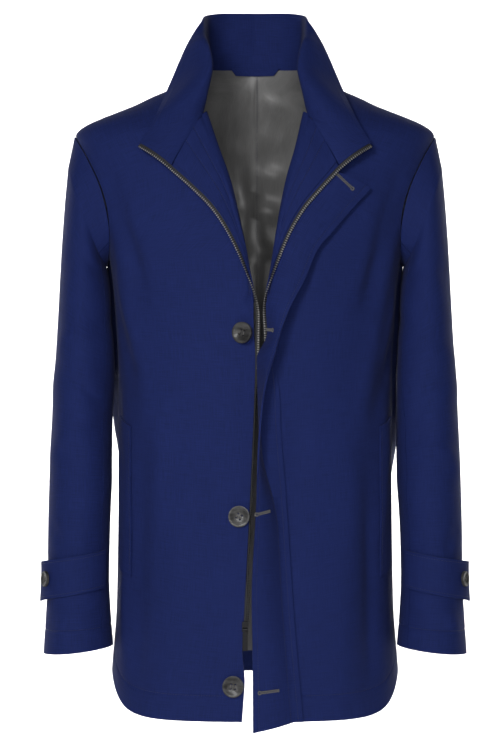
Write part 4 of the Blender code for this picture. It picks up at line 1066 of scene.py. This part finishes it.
def lining_satin(settings):
    """Smooth satin with fine upright yarns and a soft shine."""
    made, tree, shader = material("lining_satin", settings.lining_colour, 0.36)
    chart = place_on(tree, "UV")
    yarn = yarns(tree, chart, 1400.0, 60.0)
    share = mixed(tree, yarn, 0.35, yarns(tree, chart, 30.0, 7.0, 3.0), 0.65)
    shaded(tree, shader, share, settings.lining_colour, (0.70, 1.35), (0.30, 0.70))
    bump(tree, shader, yarn, 0.20, 0.0003)
    shader.inputs["Sheen Weight"].default_value = 0.15
    shader.inputs["Specular IOR Level"].default_value = 0.55
    return made


def tape_cloth(settings):
    """Herringbone tape."""
    made, tree, shader = material("zip_tape", settings.tape_colour, 0.70)
    chart = place_on(tree, "UV")
    weave = waves(tree, chart, 0.0011, "DIAGONAL", 0.6)
    shaded(tree, shader, weave, settings.tape_colour, (0.6, 1.3))
    bump(tree, shader, weave, 0.5, 0.0003)
    return made


def button_horn(settings):
    """Polished horn with cloudy streaks."""
    made, tree, shader = material("button_horn", settings.button_colour, 0.26)
    place = place_on(tree, "Object")
    streaks = noise(tree, scaled(tree, place, (60.0, 60.0, 260.0)), 1.0, 5.0)
    shaded(tree, shader, streaks, settings.button_colour, (0.35, 1.9), (0.35, 0.72))
    roughened(tree, shader, noise(tree, place, 420.0, 4.0), 0.32, 0.55)
    shader.inputs["Coat Weight"].default_value = 0.10
    return made


def zip_metal(name, colour, roughness, wear):
    """Metal with a fine grain and rubbed patches."""
    made, tree, shader = material(name, colour, roughness, 1.0)
    place = place_on(tree, "Object")
    grain = noise(tree, scaled(tree, place, (900.0, 900.0, 4200.0)), 1.0, 3.0)
    patches = noise(tree, place, 380.0, 4.0)
    shaded(tree, shader, patches, colour, (1.0 - wear, 1.0 + wear))
    roughened(tree, shader, grain, roughness * 0.7, roughness * 1.5)
    bump(tree, shader, grain, 0.15, 0.0001)
    return made


def thread(name, colour):
    """Twisted sewing thread."""
    made, tree, shader = material(name, colour, 0.62)
    place = place_on(tree, "Object")
    twist = waves(tree, place, 0.0007, "DIAGONAL", 0.5)
    shaded(tree, shader, twist, colour, (0.65, 1.25))
    bump(tree, shader, twist, 0.4, 0.0002)
    shader.inputs["Sheen Weight"].default_value = 0.10
    return made


FINISHES = {}


def finishes(context):
    """Every finish of the coat, made once."""
    if not FINISHES:
        cloth, trim = context.scene.coat_cloth, context.scene.coat_trim
        FINISHES.update(
            navy=navy_cloth(cloth), satin=lining_satin(cloth), tape=tape_cloth(cloth),
            horn=button_horn(trim),
            steel=zip_metal("zip_steel", trim.steel_colour, 0.30, 0.25),
            bright=zip_metal("zip_stop", trim.stop_colour, 0.30, 0.20),
            teeth=zip_metal("zip_teeth", trim.teeth_colour, 0.38, 0.45),
            seam=thread("seam_thread", trim.seam_colour),
            hole=thread("buttonhole_thread", trim.hole_colour))
    return FINISHES


def copies(name, pattern, frames, materials):
    """One piece out of many copies of a small pattern, each with its own axes and place."""
    points, faces = pattern
    axes, places = frames
    every = np.einsum("pk,nkj->npj", points, axes) + places[:, None]
    count = len(points)
    mesh = bpy.data.meshes.new(name)
    repeated = [[corner + n * count for corner in face]
                for n in range(len(places)) for face in faces]
    mesh.from_pydata(every.reshape(-1, 3).tolist(), [], repeated)
    mesh.update()
    mesh.shade_smooth()
    return keep(link(name, mesh, materials), None)


def pattern_of(item):
    """Points and faces of a small modelled shape, which is then taken away."""
    points = np.array([corner.co[:] for corner in item.data.vertices])
    faces = [list(face.vertices) for face in item.data.polygons]
    bpy.data.objects.remove(item, do_unlink=True)
    return points, faces


def stitch_pattern(length, radius):
    """One stitch along X: a thread that goes down into the cloth at both ends."""
    bpy.ops.object.select_all(action="DESELECT")
    bpy.ops.mesh.primitive_uv_sphere_add(segments=6, ring_count=5, radius=1.0)
    item = bpy.context.object
    bpy.ops.object.mode_set(mode="EDIT")
    bpy.ops.mesh.select_all(action="SELECT")
    bpy.ops.transform.rotate(value=math.pi / 2, orient_axis="Y", center_override=(0, 0, 0))
    bpy.ops.transform.resize(value=(length / 2, radius, radius))
    bpy.ops.object.mode_set(mode="OBJECT")
    return pattern_of(item)


def tooth_pattern(pitch, thick):
    """One zip tooth: a block with a narrower nose, its edges broken."""
    bpy.ops.object.select_all(action="DESELECT")
    bpy.ops.mesh.primitive_cube_add(size=1.0)
    item = bpy.context.object
    bpy.ops.object.mode_set(mode="EDIT")
    bpy.ops.mesh.select_all(action="SELECT")
    bpy.ops.transform.resize(value=(TOOTH_LENGTH, pitch * TOOTH_SHARE, thick))
    bpy.ops.mesh.bevel(offset=TOOTH_BEVEL, segments=1, affect="EDGES")
    bpy.ops.object.mode_set(mode="OBJECT")
    for corner in item.data.vertices:
        nose = max(corner.co.x / TOOTH_LENGTH, 0.0)
        corner.co.y *= 1 - NOSE_NARROW * nose
        corner.co.z *= 1 - NOSE_THIN * nose
    return pattern_of(item)


def frames_along(points, normals, pitch):
    """Evenly spaced frames on a path: along it, across it and outwards, with their places."""
    steps = np.linalg.norm(np.diff(points, axis=0), axis=1)
    run = np.concatenate(([0.0], np.cumsum(steps)))
    at = np.arange(pitch / 2, run[-1], pitch)
    near = 1e-4
    forward = unit(read(at + near, run, points) - read(at - near, run, points))
    side = unit(np.cross(unit(read(at, run, normals)), forward))
    return np.stack((forward, side, np.cross(forward, side)), axis=1), read(at, run, points)


def stitches(context, name, lines):
    """Rows of stitches along lines, each a path of points with the outward direction at each."""
    pitch = context.scene.coat_trim.stitch_pitch
    every = [frames_along(points + out * STITCH_LIFT, out, pitch) for points, out in lines]
    frames = [np.concatenate(part) for part in zip(*every)]
    pattern = stitch_pattern(pitch * STITCH_SHARE, STITCH_RADIUS)
    return copies(name, pattern, frames, [finishes(context)["seam"]])


def on_sheet(points, outward_sign, wall):
    """Points of a grid on its outer face, with the outward directions."""
    out = outward_sign * grid_normal(points)
    return points + out * wall / 2, out


def fine_rows(low, middle, high, neck):
    """Rows of a panel with more of them at the stitched hem."""
    return with_lines(panel_rows(low, middle, high, neck), [HEM_STITCH], HEM_LINE)


# Rows, columns and steps of the fine grids
FRONT_FINE = fine_rows(44, 44, 40, 12)
LAPEL_FINE = FRONT_FINE[FRONT_FINE < GORGE_ROW + 1e-6]
ACROSS_FINE = np.linspace(0.0, 1.0, 64)
FOLD_FINE = np.linspace(0.0, 1.0, 34)
BACK_FINE = fine_rows(44, 30, 36, 12)
BACK_ACROSS_FINE = np.linspace(0.0, 1.0, 52)
FLY_FINE = np.append(LAPEL_FINE[LAPEL_FINE < FLY_TOP_ROW], FLY_TOP_ROW)
FLY_STEPS = np.linspace(0.0, 1.0, 15)


def hem_dent(rows):
    """Depth of the hem's stitched line in each row."""
    return dents(rows, [HEM_STITCH], HEM_DEPTH, HEM_DENT)[:, None]


def front_grids(side):
    """A front's two grids, its body and its turned edge, which share a side."""
    body = front_body(side, FRONT_FINE, ACROSS_FINE)
    body = body - side * hem_dent(FRONT_FINE)[..., None] * grid_normal(body)
    edge = turned_edge(side, LAPEL_FINE, FOLD_FINE)
    edge[:, 0] = body[:len(edge), -1]
    if side == RIGHT:
        edge[..., 0] += FOOT_REACH * (1 - ease(*FOOT_REACH_FADE, edge[..., 2])) * FOLD_FINE
    return body, edge


def whole_back(half_of):
    """Both halves of a piece of the back, in the order in which they meet."""
    return [half_of(RIGHT)[:, ::-1], half_of(LEFT)]


def back_cloth(side):
    """Half of the back with the dent of its hem."""
    half = back_half(side, BACK_FINE, BACK_ACROSS_FINE)
    return half + side * hem_dent(BACK_FINE)[..., None] * grid_normal(half)


def back_lining(side):
    """Half of the lining inside the back, with the pleat in its middle and its creases."""
    under = -(CLOTH / 2 + SEAM + LINING / 2 + LINING_ROOM)
    across = BACK_ACROSS_FINE[BACK_ACROSS_FINE > LINING_SIDE]
    half = back_half(side, BACK_FINE[BACK_FINE > LINING_FOOT], across, under)
    x, z = half[..., 0], half[..., 2]
    below = 1 - ease(*PLEAT_TOP, z)
    away = x - PLEAT_SHIFT * np.sin(PLEAT_WAVES * z)
    half[..., 1] -= below * PLEAT_DEPTH * bell(away, np.where(away > 0, PLEAT_STEEP, PLEAT_FLAT))
    half[..., 1] -= below * np.maximum(creases(LINING_CREASES, x, z), 0.0)
    return half


def hanger_loop():
    """Strip on the lining at the back of the neck, wider at its top."""
    height = np.linspace(0.0, 1.0, 7)[:, None]
    across = np.linspace(-1.0, 1.0, 33)[None, :]
    x = across * (LOOP_HALF - LOOP_NARROW + LOOP_FLARE * height)
    z = np.broadcast_to(LOOP_FOOT + LOOP_RAISE + LOOP_HEIGHT * height, x.shape)
    angle = np.arccos(power(x / along(BODY, BODY_COLUMNS, "half_width", z),
                            along(BODY, BODY_COLUMNS, "squareness", z) / 2))
    under = -(CLOTH + SEAM + LINING + LINING_ROOM + SEAM + LOOP_WALL / 2 + LOOP_ROOM)
    return section(LEFT, BACK, angle, z) + under * normal(LEFT, BACK, angle, z)


class COAT_OT_back(bpy.types.Operator):
    """Back, the lining inside it and the hanger loop"""
    bl_idname = "coat.back"
    bl_label = "Back and lining"

    def execute(self, context):
        looks = finishes(context)
        sewn("coat_back", "back", whole_back(back_cloth), CLOTH, False, [looks["navy"]])
        lining = whole_back(back_lining)
        sewn("coat_lining", "lining_back", lining, LINING, False, [looks["satin"]])
        # Stitches down the middle of the lining in the dark seam thread: a real seam, whose dark line
        # on the grey satin also stands in as painted shade beside the pleat's steep side
        seam = lining[1][:, -1]
        seam = seam[seam[:, 2] > LINING_STITCH_FOOT]
        out = np.broadcast_to(np.array([0.0, -1.0, 0.0]), seam.shape)
        beside = seam + LINING_STITCH_LIFT * out + np.array([LINING_STITCH, 0.0, 0.0])
        stitches(context, "coat_sewing_lining", [(beside, out)])
        sewn("coat_hanger_loop", "hanger_loop", [hanger_loop()], LOOP_WALL, False, [looks["navy"]])
        return {"FINISHED"}


def facing_sheet(side):
    """Facing inside a turned-out front, with the dents of its stitched lines."""
    rows = LAPEL_FINE[LAPEL_FINE > FACING_FOOT]
    steps = with_lines(np.append(FOLD_FINE[1:-2], FACING_EDGE), FACING_STITCH, FACING_DENT)
    body = front_body(side, rows, ACROSS_FINE[-FACING_COLUMNS:])
    grid = np.concatenate((body, turned_edge(side, rows, steps)), axis=1)
    under = CLOTH / 2 + SEAM + FACING / 2 + FACING_ROOM
    lines = dents(steps, FACING_STITCH, FACING_DEPTH, FACING_DENT)
    dent = np.concatenate((np.zeros(FACING_COLUMNS), lines))
    return grid - (under + dent)[None, :, None] * outward(side, grid)


class COAT_OT_fronts(bpy.types.Operator):
    """Both fronts with their turned-out edges, and the facing inside them"""
    bl_idname = "coat.fronts"
    bl_label = "Fronts and facings"

    def execute(self, context):
        looks = finishes(context)
        for side, name in SIDES:
            sewn(f"coat_front_{name}", f"front_{name}", front_grids(side), CLOTH, side == LEFT,
                 [looks["navy"], looks["satin"], looks["navy"], looks["navy"]])
            sewn(f"coat_facing_{name}", f"facing_{name}", [facing_sheet(side)], FACING,
                 side == LEFT, [looks["navy"]])
        return {"FINISHED"}


class COAT_OT_collar(bpy.types.Operator):
    """Collar that stands behind and falls to two points in front"""
    bl_idname = "coat.collar"
    bl_label = "Collar"

    def execute(self, context):
        stations = np.linspace(-1.0, 1.0, 161)
        heights = with_lines(np.linspace(COLLAR_BELOW, 1.0, 30), [COLLAR_STITCH], COLLAR_DENT)
        sheet = collar_sheet(stations, heights)
        wave = creases(COLLAR_CREASES, stations[:, None], heights[None, :])
        line = dents(heights, [COLLAR_STITCH], COLLAR_DEPTH, COLLAR_DENT)[None, :]
        sheet = sheet + (wave + line)[..., None] * grid_normal(sheet)
        sewn("coat_collar", "collar", [sheet], COLLAR_WALL, False, [finishes(context)["navy"]])
        return {"FINISHED"}


class COAT_OT_sleeves(bpy.types.Operator):
    """Two-piece sleeves with their straps"""
    bl_idname = "coat.sleeves"
    bl_label = "Sleeves and straps"

    def execute(self, context):
        looks = finishes(context)
        crown = SLEEVE[0, 0]
        stations = np.concatenate((np.linspace(0.0, crown, 6)[:-1], np.linspace(crown, 1.0, 116)))
        stations = with_lines(stations, [CUFF_STITCH], CUFF_DENT)
        first, last = TOP_SLEEVE
        top = np.linspace(first + SLEEVE_SEAM, last - SLEEVE_SEAM, 66)
        under = np.linspace(last + SLEEVE_SEAM - 2 * np.pi, first - SLEEVE_SEAM, 24)
        dent = dents(stations, [CUFF_STITCH], CUFF_DEPTH, CUFF_DENT)[:, None, None]
        for side, name in SIDES:
            for part, turns in (("top", top), ("under", under)):
                sheet = sleeve_sheet(side, stations, turns)
                sheet = sheet + dent * sleeve_normal(side, stations, turns)
                sewn(f"coat_sleeve_{part}_{name}", f"sleeve_{part}_{name}", [sheet], CLOTH,
                     side == LEFT, [looks["navy"], looks["satin"]])
            strap = strap_sheet(side, STRAP_OVER, STRAP_COLUMNS, STRAP_ROWS)
            sewn(f"coat_strap_{name}", f"sleeve_strap_{name}", [strap], STRAP_WALL, side == LEFT,
                 [looks["navy"]])
        return {"FINISHED"}


class COAT_OT_fly(bpy.types.Operator):
    """Fly over the zip"""
    bl_idname = "coat.fly"
    bl_label = "Fly"

    def execute(self, context):
        sheet = fly_sheet(FLY_FINE, FLY_STEPS)
        sewn("coat_fly", "fly", [sheet], CLOTH, True, [finishes(context)["navy"]])
        return {"FINISHED"}


class COAT_OT_pockets(bpy.types.Operator):
    """Welts of the side pockets"""
    bl_idname = "coat.pockets"
    bl_label = "Pocket welts"

    def execute(self, context):
        for side, name in SIDES:
            sewn(f"coat_welt_{name}", f"pocket_welt_{name}", [welt_sheet(side)], WELT_WALL,
                 side == LEFT, [finishes(context)["navy"]])
        return {"FINISHED"}


def zip_frames(side, pitch):
    """Axes and places of one side's teeth: beyond the tape, up it and outwards."""
    chain = zip_sheet(side, LAPEL_FINE, CHAIN_SHARES, ZIP_ENDS)
    axes, places = frames_along(chain[:, 1], -side * grid_normal(chain)[:, 1], pitch)
    axes = np.stack((side * axes[:, 1], axes[:, 0], axes[:, 2]), axis=1)
    beyond = read(places[:, 2], chain[:, 2, 2], chain[:, 2] - chain[:, 1])
    axes[:, 0] *= np.sign((axes[:, 0] * beyond).sum(axis=1))[:, None]
    return axes, places


def stop_frame(side):
    """Axes and place of the stop at one tape's upper end."""
    tip = zip_sheet(side, LAPEL_FINE, STOP_SHARES, ZIP_ENDS)[-3:]
    out = -side * grid_normal(tip)[-1, 1]
    forward = unit(tip[-1, 1] - tip[-2, 1])
    return np.stack((np.cross(forward, out), forward, out))[None], tip[-1, 1][None]


class COAT_OT_zip(bpy.types.Operator):
    """Zip tapes with their teeth and stops, and the slider's finish"""
    bl_idname = "coat.zip"
    bl_label = "Zip"

    def execute(self, context):
        looks = finishes(context)
        pitch = context.scene.coat_trim.tooth_pitch
        for side, name in SIDES:
            tape = zip_sheet(side, LAPEL_FINE, TAPE_SHARES, ZIP_ENDS)
            sewn(f"coat_zip_tape_{name}", f"zip_tape_{name}", [tape], TAPE_WALL, side == LEFT,
                 [looks["tape"]])
            axes, places = zip_frames(side, pitch)
            # Teeth below that height get the slider's dark finish as painted shade under the fly;
            # those above keep the teeth's own finish
            upper = places[:, 2] > SHADED_TEETH_TOP
            for label, chosen, finish in (("upper", upper, "teeth"), ("lower", ~upper, "steel")):
                copies(f"coat_zip_teeth_{label}_{name}", tooth_pattern(pitch, TOOTH_THICK),
                       (axes[chosen], places[chosen]), [looks[finish]])
            copies(f"coat_zip_stop_{name}", tooth_pattern(STOP_PITCH, STOP_THICK), stop_frame(side),
                   [looks["bright"]])
        for solid in ("zip_slider", "zip_pull"):
            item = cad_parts[solid]
            item.data.materials.clear()
            item.data.materials.append(looks["steel"])
        return {"FINISHED"}


def button_mesh(radius, thick):
    """Four-hole button: a turned disc with a rounded rim and a dished middle, drilled through."""
    bpy.ops.object.select_all(action="DESELECT")
    bpy.ops.mesh.primitive_cylinder_add(vertices=48, radius=radius, depth=thick,
                                        location=(0.0, 0.0, thick / 2))
    item = bpy.context.object
    bpy.ops.object.mode_set(mode="EDIT")
    bpy.ops.mesh.select_all(action="DESELECT")
    bpy.ops.object.mode_set(mode="OBJECT")
    for face in item.data.polygons:
        face.select = face.normal.z > 0.9
    bpy.ops.object.mode_set(mode="EDIT")
    bpy.ops.mesh.inset(thickness=radius * RIM_WIDTH, depth=0.0)
    bpy.ops.mesh.inset(thickness=radius * SLOPE_WIDTH, depth=-thick * DISH_DEPTH)
    bpy.ops.object.mode_set(mode="OBJECT")
    bpy.ops.object.transform_apply(location=True, rotation=True, scale=True)
    drills = []
    for x, y in ((1, 1), (1, -1), (-1, 1), (-1, -1)):
        place = x * radius * HOLE_PLACE, y * radius * HOLE_PLACE, 0.0
        bpy.ops.mesh.primitive_cylinder_add(vertices=16, radius=radius * HOLE_RADIUS,
                                            depth=thick * 4, location=place)
        drills.append(bpy.context.object)
    for drill in drills:
        cut = item.modifiers.new("drill", "BOOLEAN")
        cut.operation, cut.object = "DIFFERENCE", drill
        select_only(item)
        bpy.ops.object.modifier_apply(modifier="drill")
        bpy.data.objects.remove(drill, do_unlink=True)
    rounded = item.modifiers.new("rim", "BEVEL")
    rounded.width, rounded.segments, rounded.limit_method = thick * RIM_ROUND, 3, "ANGLE"
    rounded.angle_limit = BUTTON_EDGE
    bpy.ops.object.modifier_apply(modifier="rim")
    bpy.ops.object.shade_smooth_by_angle(angle=BUTTON_SMOOTH)
    return item


class COAT_OT_buttons(bpy.types.Operator):
    """Four-hole buttons with their sewing"""
    bl_idname = "coat.buttons"
    bl_label = "Buttons"

    def execute(self, context):
        looks = finishes(context)
        for number, (name, place, facing, radius, thick) in enumerate(button_seats(), start=2):
            item = button_mesh(radius, thick)
            item.name = item.data.name = f"coat_{name}"
            item.data.materials.append(looks["horn"])
            tilt = BUTTON_TILT.get(name, 0.0)
            place = place + radius * TILT_LIFT * abs(math.sin(tilt)) * facing
            facing = Matrix.Rotation(-tilt, 3, "Z") @ Vector(facing)
            turn = Vector((0.0, 0.0, 1.0)).rotation_difference(facing).to_matrix()
            axes = np.array(turn @ Matrix.Rotation(BUTTON_TURN * number, 3, "Z"))
            seat = Matrix.Translation(Vector(place)) @ Matrix(axes.tolist()).to_4x4()
            item.data.transform(seat)
            keep(item, name)
            places = [place + axes @ np.array([0.0, across * radius, thick * THREAD_HEIGHT])
                      for across in (-HOLE_PLACE, HOLE_PLACE)]
            copies(f"coat_{name}_thread",
                   stitch_pattern(radius * THREAD_LENGTH, radius * THREAD_RADIUS),
                   (np.array([axes.T, axes.T]), np.array(places)), [looks["hole"]])
        return {"FINISHED"}


def buttonhole(context, name, row, step, turn, length):
    """Sewn buttonhole on the fly: stitches round a slot."""
    near_rows, near_steps = 0.012, 0.05
    rows = row + np.array([-near_rows, 0.0, near_rows])
    steps = step + np.array([-near_steps, 0.0, near_steps])
    patch = fly_sheet(rows, steps)[:, -3:]
    place = patch[1, 1]
    along_hole = unit(patch[1, 2] - patch[1, 0])
    out = -unit(np.cross(patch[1, 2] - patch[1, 0], patch[2, 1] - patch[0, 1]))
    along_hole = math.cos(turn) * along_hole + math.sin(turn) * np.cross(out, along_hole)
    across = np.cross(out, along_hole)
    half = length / 2
    frames, places = [], []
    for face in (-1, 1):
        lift = face * (CLOTH / 2 + 0.0001) * out
        for sign in (-1, 1):
            for at in np.arange(-half, half - EYELET, HOLE_PITCH):
                frames.append((sign * across, -sign * along_hole, out))
                places.append(place + at * along_hole + sign * HOLE_SLOT * across + lift)
        for around in np.linspace(-EYELET_TURN, EYELET_TURN, 20):
            ray = math.cos(around) * along_hole + math.sin(around) * across
            frames.append((ray, np.cross(out, ray), out))
            places.append(place + half * along_hole + EYELET * ray + lift)
    copies(name, stitch_pattern(*HOLE_STITCH), (np.array(frames), np.array(places)),
           [finishes(context)["hole"]])


def front_lines(side):
    """Stitched lines of a front: its hem, its facing and its pocket welt."""
    rows = with_lines(FRONT_FINE[:20], [HEM_STITCH], HEM_DENT)
    body = front_body(side, rows, ACROSS_FINE)
    line = int(np.argmin(np.abs(rows - HEM_STITCH)))
    out = -side * grid_normal(body)
    lines = [((body + out * (CLOTH / 2 - HEM_SINK))[line, 1:-1], out[line, 1:-1])]
    rows = LAPEL_FINE[LAPEL_FINE > FACING_FOOT + FACING_STITCH_FOOT]
    under = CLOTH / 2 + SEAM + FACING + FACING_ROOM - FACING_SINK
    for step in FACING_STITCH:
        grid = turned_edge(side, rows, [step - FACING_NEAR, step, step + FACING_NEAR])
        out = outward(side, grid)
        lines.append(((grid - under * out)[:, 1], -out[:, 1]))
    points, out = on_sheet(welt_sheet(side), -side, WELT_WALL)
    return lines + [(points[2:-2, column], out[2:-2, column]) for column in (1, -2)]


def sleeve_lines(side):
    """Stitched lines of a sleeve: its cuff and both sides of its strap."""
    cuff = np.array([CUFF_STITCH])
    turns = np.linspace(TOP_SLEEVE[0] + CUFF_ENDS, TOP_SLEEVE[1] - CUFF_ENDS, 60)
    lines = [(sleeve_sheet(side, cuff, turns, CLOTH / 2 - HEM_SINK)[0],
              sleeve_normal(side, cuff, turns)[0])]
    strap = strap_sheet(side, STRAP_OVER, STRAP_COLUMNS, STRAP_ROWS)
    points, out = on_sheet(strap, -side, STRAP_WALL)
    return lines + [(points[row, 2:-1], out[row, 2:-1]) for row in (1, -2)]


def fly_lines():
    """Stitched lines of the fly: its seam, beside it, and its free edge on both faces."""
    points, out = on_sheet(fly_sheet(FLY_FINE, FLY_STEPS), -LEFT, CLOTH)
    lines = [(points[:, column], out[:, column]) for column in (1, 3, -3)]
    return lines + [((points - out * CLOTH)[:, -3], -out[:, -3])]


def collar_lines():
    """Stitched line along the collar's top edge, on both faces."""
    stations = np.linspace(-COLLAR_STITCH_END, COLLAR_STITCH_END, 161)
    heights = COLLAR_STITCH + np.array([-COLLAR_NEAR, 0.0, COLLAR_NEAR])
    sheet = collar_sheet(stations, heights)
    line, out = sheet[:, 1], grid_normal(sheet)[:, 1]
    return [(line + face * out * (COLLAR_WALL / 2 - COLLAR_SINK), face * out) for face in (-1, 1)]


class COAT_OT_sewing(bpy.types.Operator):
    """Rows of stitches and the buttonholes"""
    bl_idname = "coat.sewing"
    bl_label = "Sewing"

    def execute(self, context):
        for side, name in SIDES:
            stitches(context, f"coat_sewing_front_{name}", front_lines(side))
            stitches(context, f"coat_sewing_sleeve_{name}", sleeve_lines(side))
        stitches(context, "coat_sewing_fly", fly_lines())
        stitches(context, "coat_sewing_collar", collar_lines())
        for number, hole in enumerate(BUTTONHOLES, start=1):
            buttonhole(context, f"coat_buttonhole_{number}", *hole)
        return {"FINISHED"}


def lamp(name, place, target, size, watts):
    light = bpy.data.lights.new(name, "AREA")
    light.shape, light.size, light.energy = "SQUARE", size, watts
    item = bpy.data.objects.new(name, light)
    bpy.context.scene.collection.objects.link(item)
    item.location = place
    item.rotation_euler = (Vector(target) - Vector(place)).to_track_quat("-Z", "Y").to_euler()


class COAT_OT_stage(bpy.types.Operator):
    """Pale floor that turns up behind, soft lights and the camera"""
    bl_idname = "coat.stage"
    bl_label = "Stage"

    def execute(self, context):
        stage = context.scene.coat_stage
        bend = [(FLOOR_FAR + FLOOR_BEND * math.sin(turn), FLOOR_BEND - FLOOR_BEND * math.cos(turn))
                for turn in np.linspace(0.0, np.pi / 2, 12)]
        profile = [(-FLOOR_HALF, 0.0), *bend, (FLOOR_FAR + FLOOR_BEND, FLOOR_TOP)]
        points = [(x, y, stage.floor_height + z) for x in (-FLOOR_HALF, FLOOR_HALF)
                  for y, z in profile]
        count = len(profile)
        quads = [(n, count + n, count + n + 1, n + 1) for n in range(count - 1)]
        mesh = bpy.data.meshes.new("floor")
        mesh.from_pydata(points, [], quads)
        mesh.shade_smooth()
        made, tree, shader = material("floor_paper", stage.floor_colour, 0.9)
        cloudy = noise(tree, place_on(tree, "Object"), 3.0, 3.0)
        shaded(tree, shader, cloudy, stage.floor_colour, (0.985, 1.0))
        link("floor", mesh, [made])
        world = bpy.data.worlds.new("studio")
        context.scene.world = world
        world.use_nodes = True
        surround = world.node_tree.nodes["Background"]
        surround.inputs["Color"].default_value = (1.0, 1.0, 1.0, 1.0)
        surround.inputs["Strength"].default_value = stage.surround
        for name, (place, target, size, setting) in LAMPS.items():
            lamp(name, place, target, size, getattr(stage, setting))
        camera = bpy.data.cameras.new("camera")
        camera.sensor_fit, camera.sensor_height = "VERTICAL", SENSOR
        camera.lens = SENSOR * stage.camera_distance / (PICTURE_ROWS * PIXEL)
        item = bpy.data.objects.new("camera", camera)
        context.scene.collection.objects.link(item)
        item.location = (CAMERA_X, -stage.camera_distance, CAMERA_Z)
        item.rotation_euler = (math.pi / 2, 0.0, 0.0)
        context.scene.camera = item
        context.scene.view_settings.view_transform = "Standard"
        return {"FINISHED"}


class CoatClothSettings(bpy.types.PropertyGroup):
    cloth_colour: bpy.props.FloatVectorProperty(
        name="Cloth", description="Colour of the outer cloth", subtype="COLOR", size=3,
        min=0.0, max=1.0, default=(0.0128, 0.0236, 0.1230))
    lining_colour: bpy.props.FloatVectorProperty(
        name="Lining", description="Colour of the satin lining", subtype="COLOR", size=3,
        min=0.0, max=1.0, default=(0.1700, 0.1690, 0.1680))
    tape_colour: bpy.props.FloatVectorProperty(
        name="Zip tape", description="Colour of the zip's tapes", subtype="COLOR", size=3,
        min=0.0, max=1.0, default=(0.0280, 0.0285, 0.0310))
    weave: bpy.props.FloatProperty(
        name="Weave", description="Distance between two yarns", unit="LENGTH", default=0.0009,
        min=0.0002)


class CoatTrimSettings(bpy.types.PropertyGroup):
    button_colour: bpy.props.FloatVectorProperty(
        name="Buttons", description="Colour of the buttons", subtype="COLOR", size=3,
        min=0.0, max=1.0, default=(0.0480, 0.0470, 0.0470))
    seam_colour: bpy.props.FloatVectorProperty(
        name="Seam thread", description="Colour of the rows of stitches", subtype="COLOR", size=3,
        min=0.0, max=1.0, default=(0.0110, 0.0170, 0.0720))
    hole_colour: bpy.props.FloatVectorProperty(
        name="Buttonhole thread", description="Colour of the buttonholes", subtype="COLOR", size=3,
        min=0.0, max=1.0, default=(0.1500, 0.1450, 0.1420))
    steel_colour: bpy.props.FloatVectorProperty(
        name="Slider", description="Colour of the slider and its tab", subtype="COLOR", size=3,
        min=0.0, max=1.0, default=(0.0320, 0.0320, 0.0340))
    teeth_colour: bpy.props.FloatVectorProperty(
        name="Zip teeth", description="Colour of the zip's teeth", subtype="COLOR", size=3,
        min=0.0, max=1.0, default=(0.3000, 0.2950, 0.2900))
    stop_colour: bpy.props.FloatVectorProperty(
        name="Zip stops", description="Colour of the stops at the zip's ends", subtype="COLOR",
        size=3, min=0.0, max=1.0, default=(0.2200, 0.2200, 0.2250))
    stitch_pitch: bpy.props.FloatProperty(
        name="Stitch", description="Length of one stitch", unit="LENGTH", default=0.0033, min=0.001)
    tooth_pitch: bpy.props.FloatProperty(
        name="Tooth", description="Distance between two teeth of one tape", unit="LENGTH",
        default=0.0030, min=0.001)


class CoatStageSettings(bpy.types.PropertyGroup):
    floor_colour: bpy.props.FloatVectorProperty(
        name="Floor", description="Colour of the floor", subtype="COLOR", size=3,
        min=0.0, max=1.0, default=(0.86, 0.86, 0.86))
    floor_height: bpy.props.FloatProperty(
        name="Floor height", description="Height of the floor under the shoulders", unit="LENGTH",
        default=-1.43)
    surround: bpy.props.FloatProperty(
        name="Surround", description="Strength of the light from all round", default=0.05, min=0.0)
    key_power: bpy.props.FloatProperty(
        name="Key", description="Power of the main light", unit="POWER", default=39.0, min=0.0)
    fill_power: bpy.props.FloatProperty(
        name="Fill", description="Power of the second light", unit="POWER", default=20.0, min=0.0)
    backdrop_power: bpy.props.FloatProperty(
        name="Backdrop", description="Power of each light on the backdrop", unit="POWER",
        default=190.0, min=0.0)
    camera_distance: bpy.props.FloatProperty(
        name="Camera", description="Distance of the camera from the middle of the coat",
        unit="LENGTH", default=2.8, min=0.5)


OPERATORS = (
    COAT_OT_back, COAT_OT_fronts, COAT_OT_collar, COAT_OT_sleeves, COAT_OT_fly, COAT_OT_pockets,
    COAT_OT_zip, COAT_OT_buttons, COAT_OT_sewing, COAT_OT_stage,
)
SETTINGS = {
    "coat_cloth": CoatClothSettings,
    "coat_trim": CoatTrimSettings,
    "coat_stage": CoatStageSettings,
}


class COAT_PT_panel(bpy.types.Panel):
    """Steps and settings of the coat"""
    bl_label = "Car coat"
    bl_idname = "COAT_PT_panel"
    bl_space_type = "VIEW_3D"
    bl_region_type = "UI"
    bl_category = "Coat"

    def draw(self, context):
        for operator in OPERATORS:
            self.layout.operator(operator.bl_idname)
        for name, group in SETTINGS.items():
            box = self.layout.box()
            for field in group.__annotations__:
                box.prop(getattr(context.scene, name), field)


def register():
    for item in (*SETTINGS.values(), *OPERATORS, COAT_PT_panel):
        bpy.utils.register_class(item)
    for name, group in SETTINGS.items():
        setattr(bpy.types.Scene, name, bpy.props.PointerProperty(type=group))


def unregister():
    for name in SETTINGS:
        delattr(bpy.types.Scene, name)
    for item in (COAT_PT_panel, *reversed(OPERATORS), *reversed(tuple(SETTINGS.values()))):
        bpy.utils.unregister_class(item)


def main():
    register()
    bpy.ops.coat.back()
    bpy.ops.coat.fronts()
    bpy.ops.coat.collar()
    bpy.ops.coat.sleeves()
    bpy.ops.coat.fly()
    bpy.ops.coat.pockets()
    bpy.ops.coat.zip()
    bpy.ops.coat.buttons()
    bpy.ops.coat.sewing()
    bpy.ops.coat.stage()


if __name__ == "__main__":
    main()
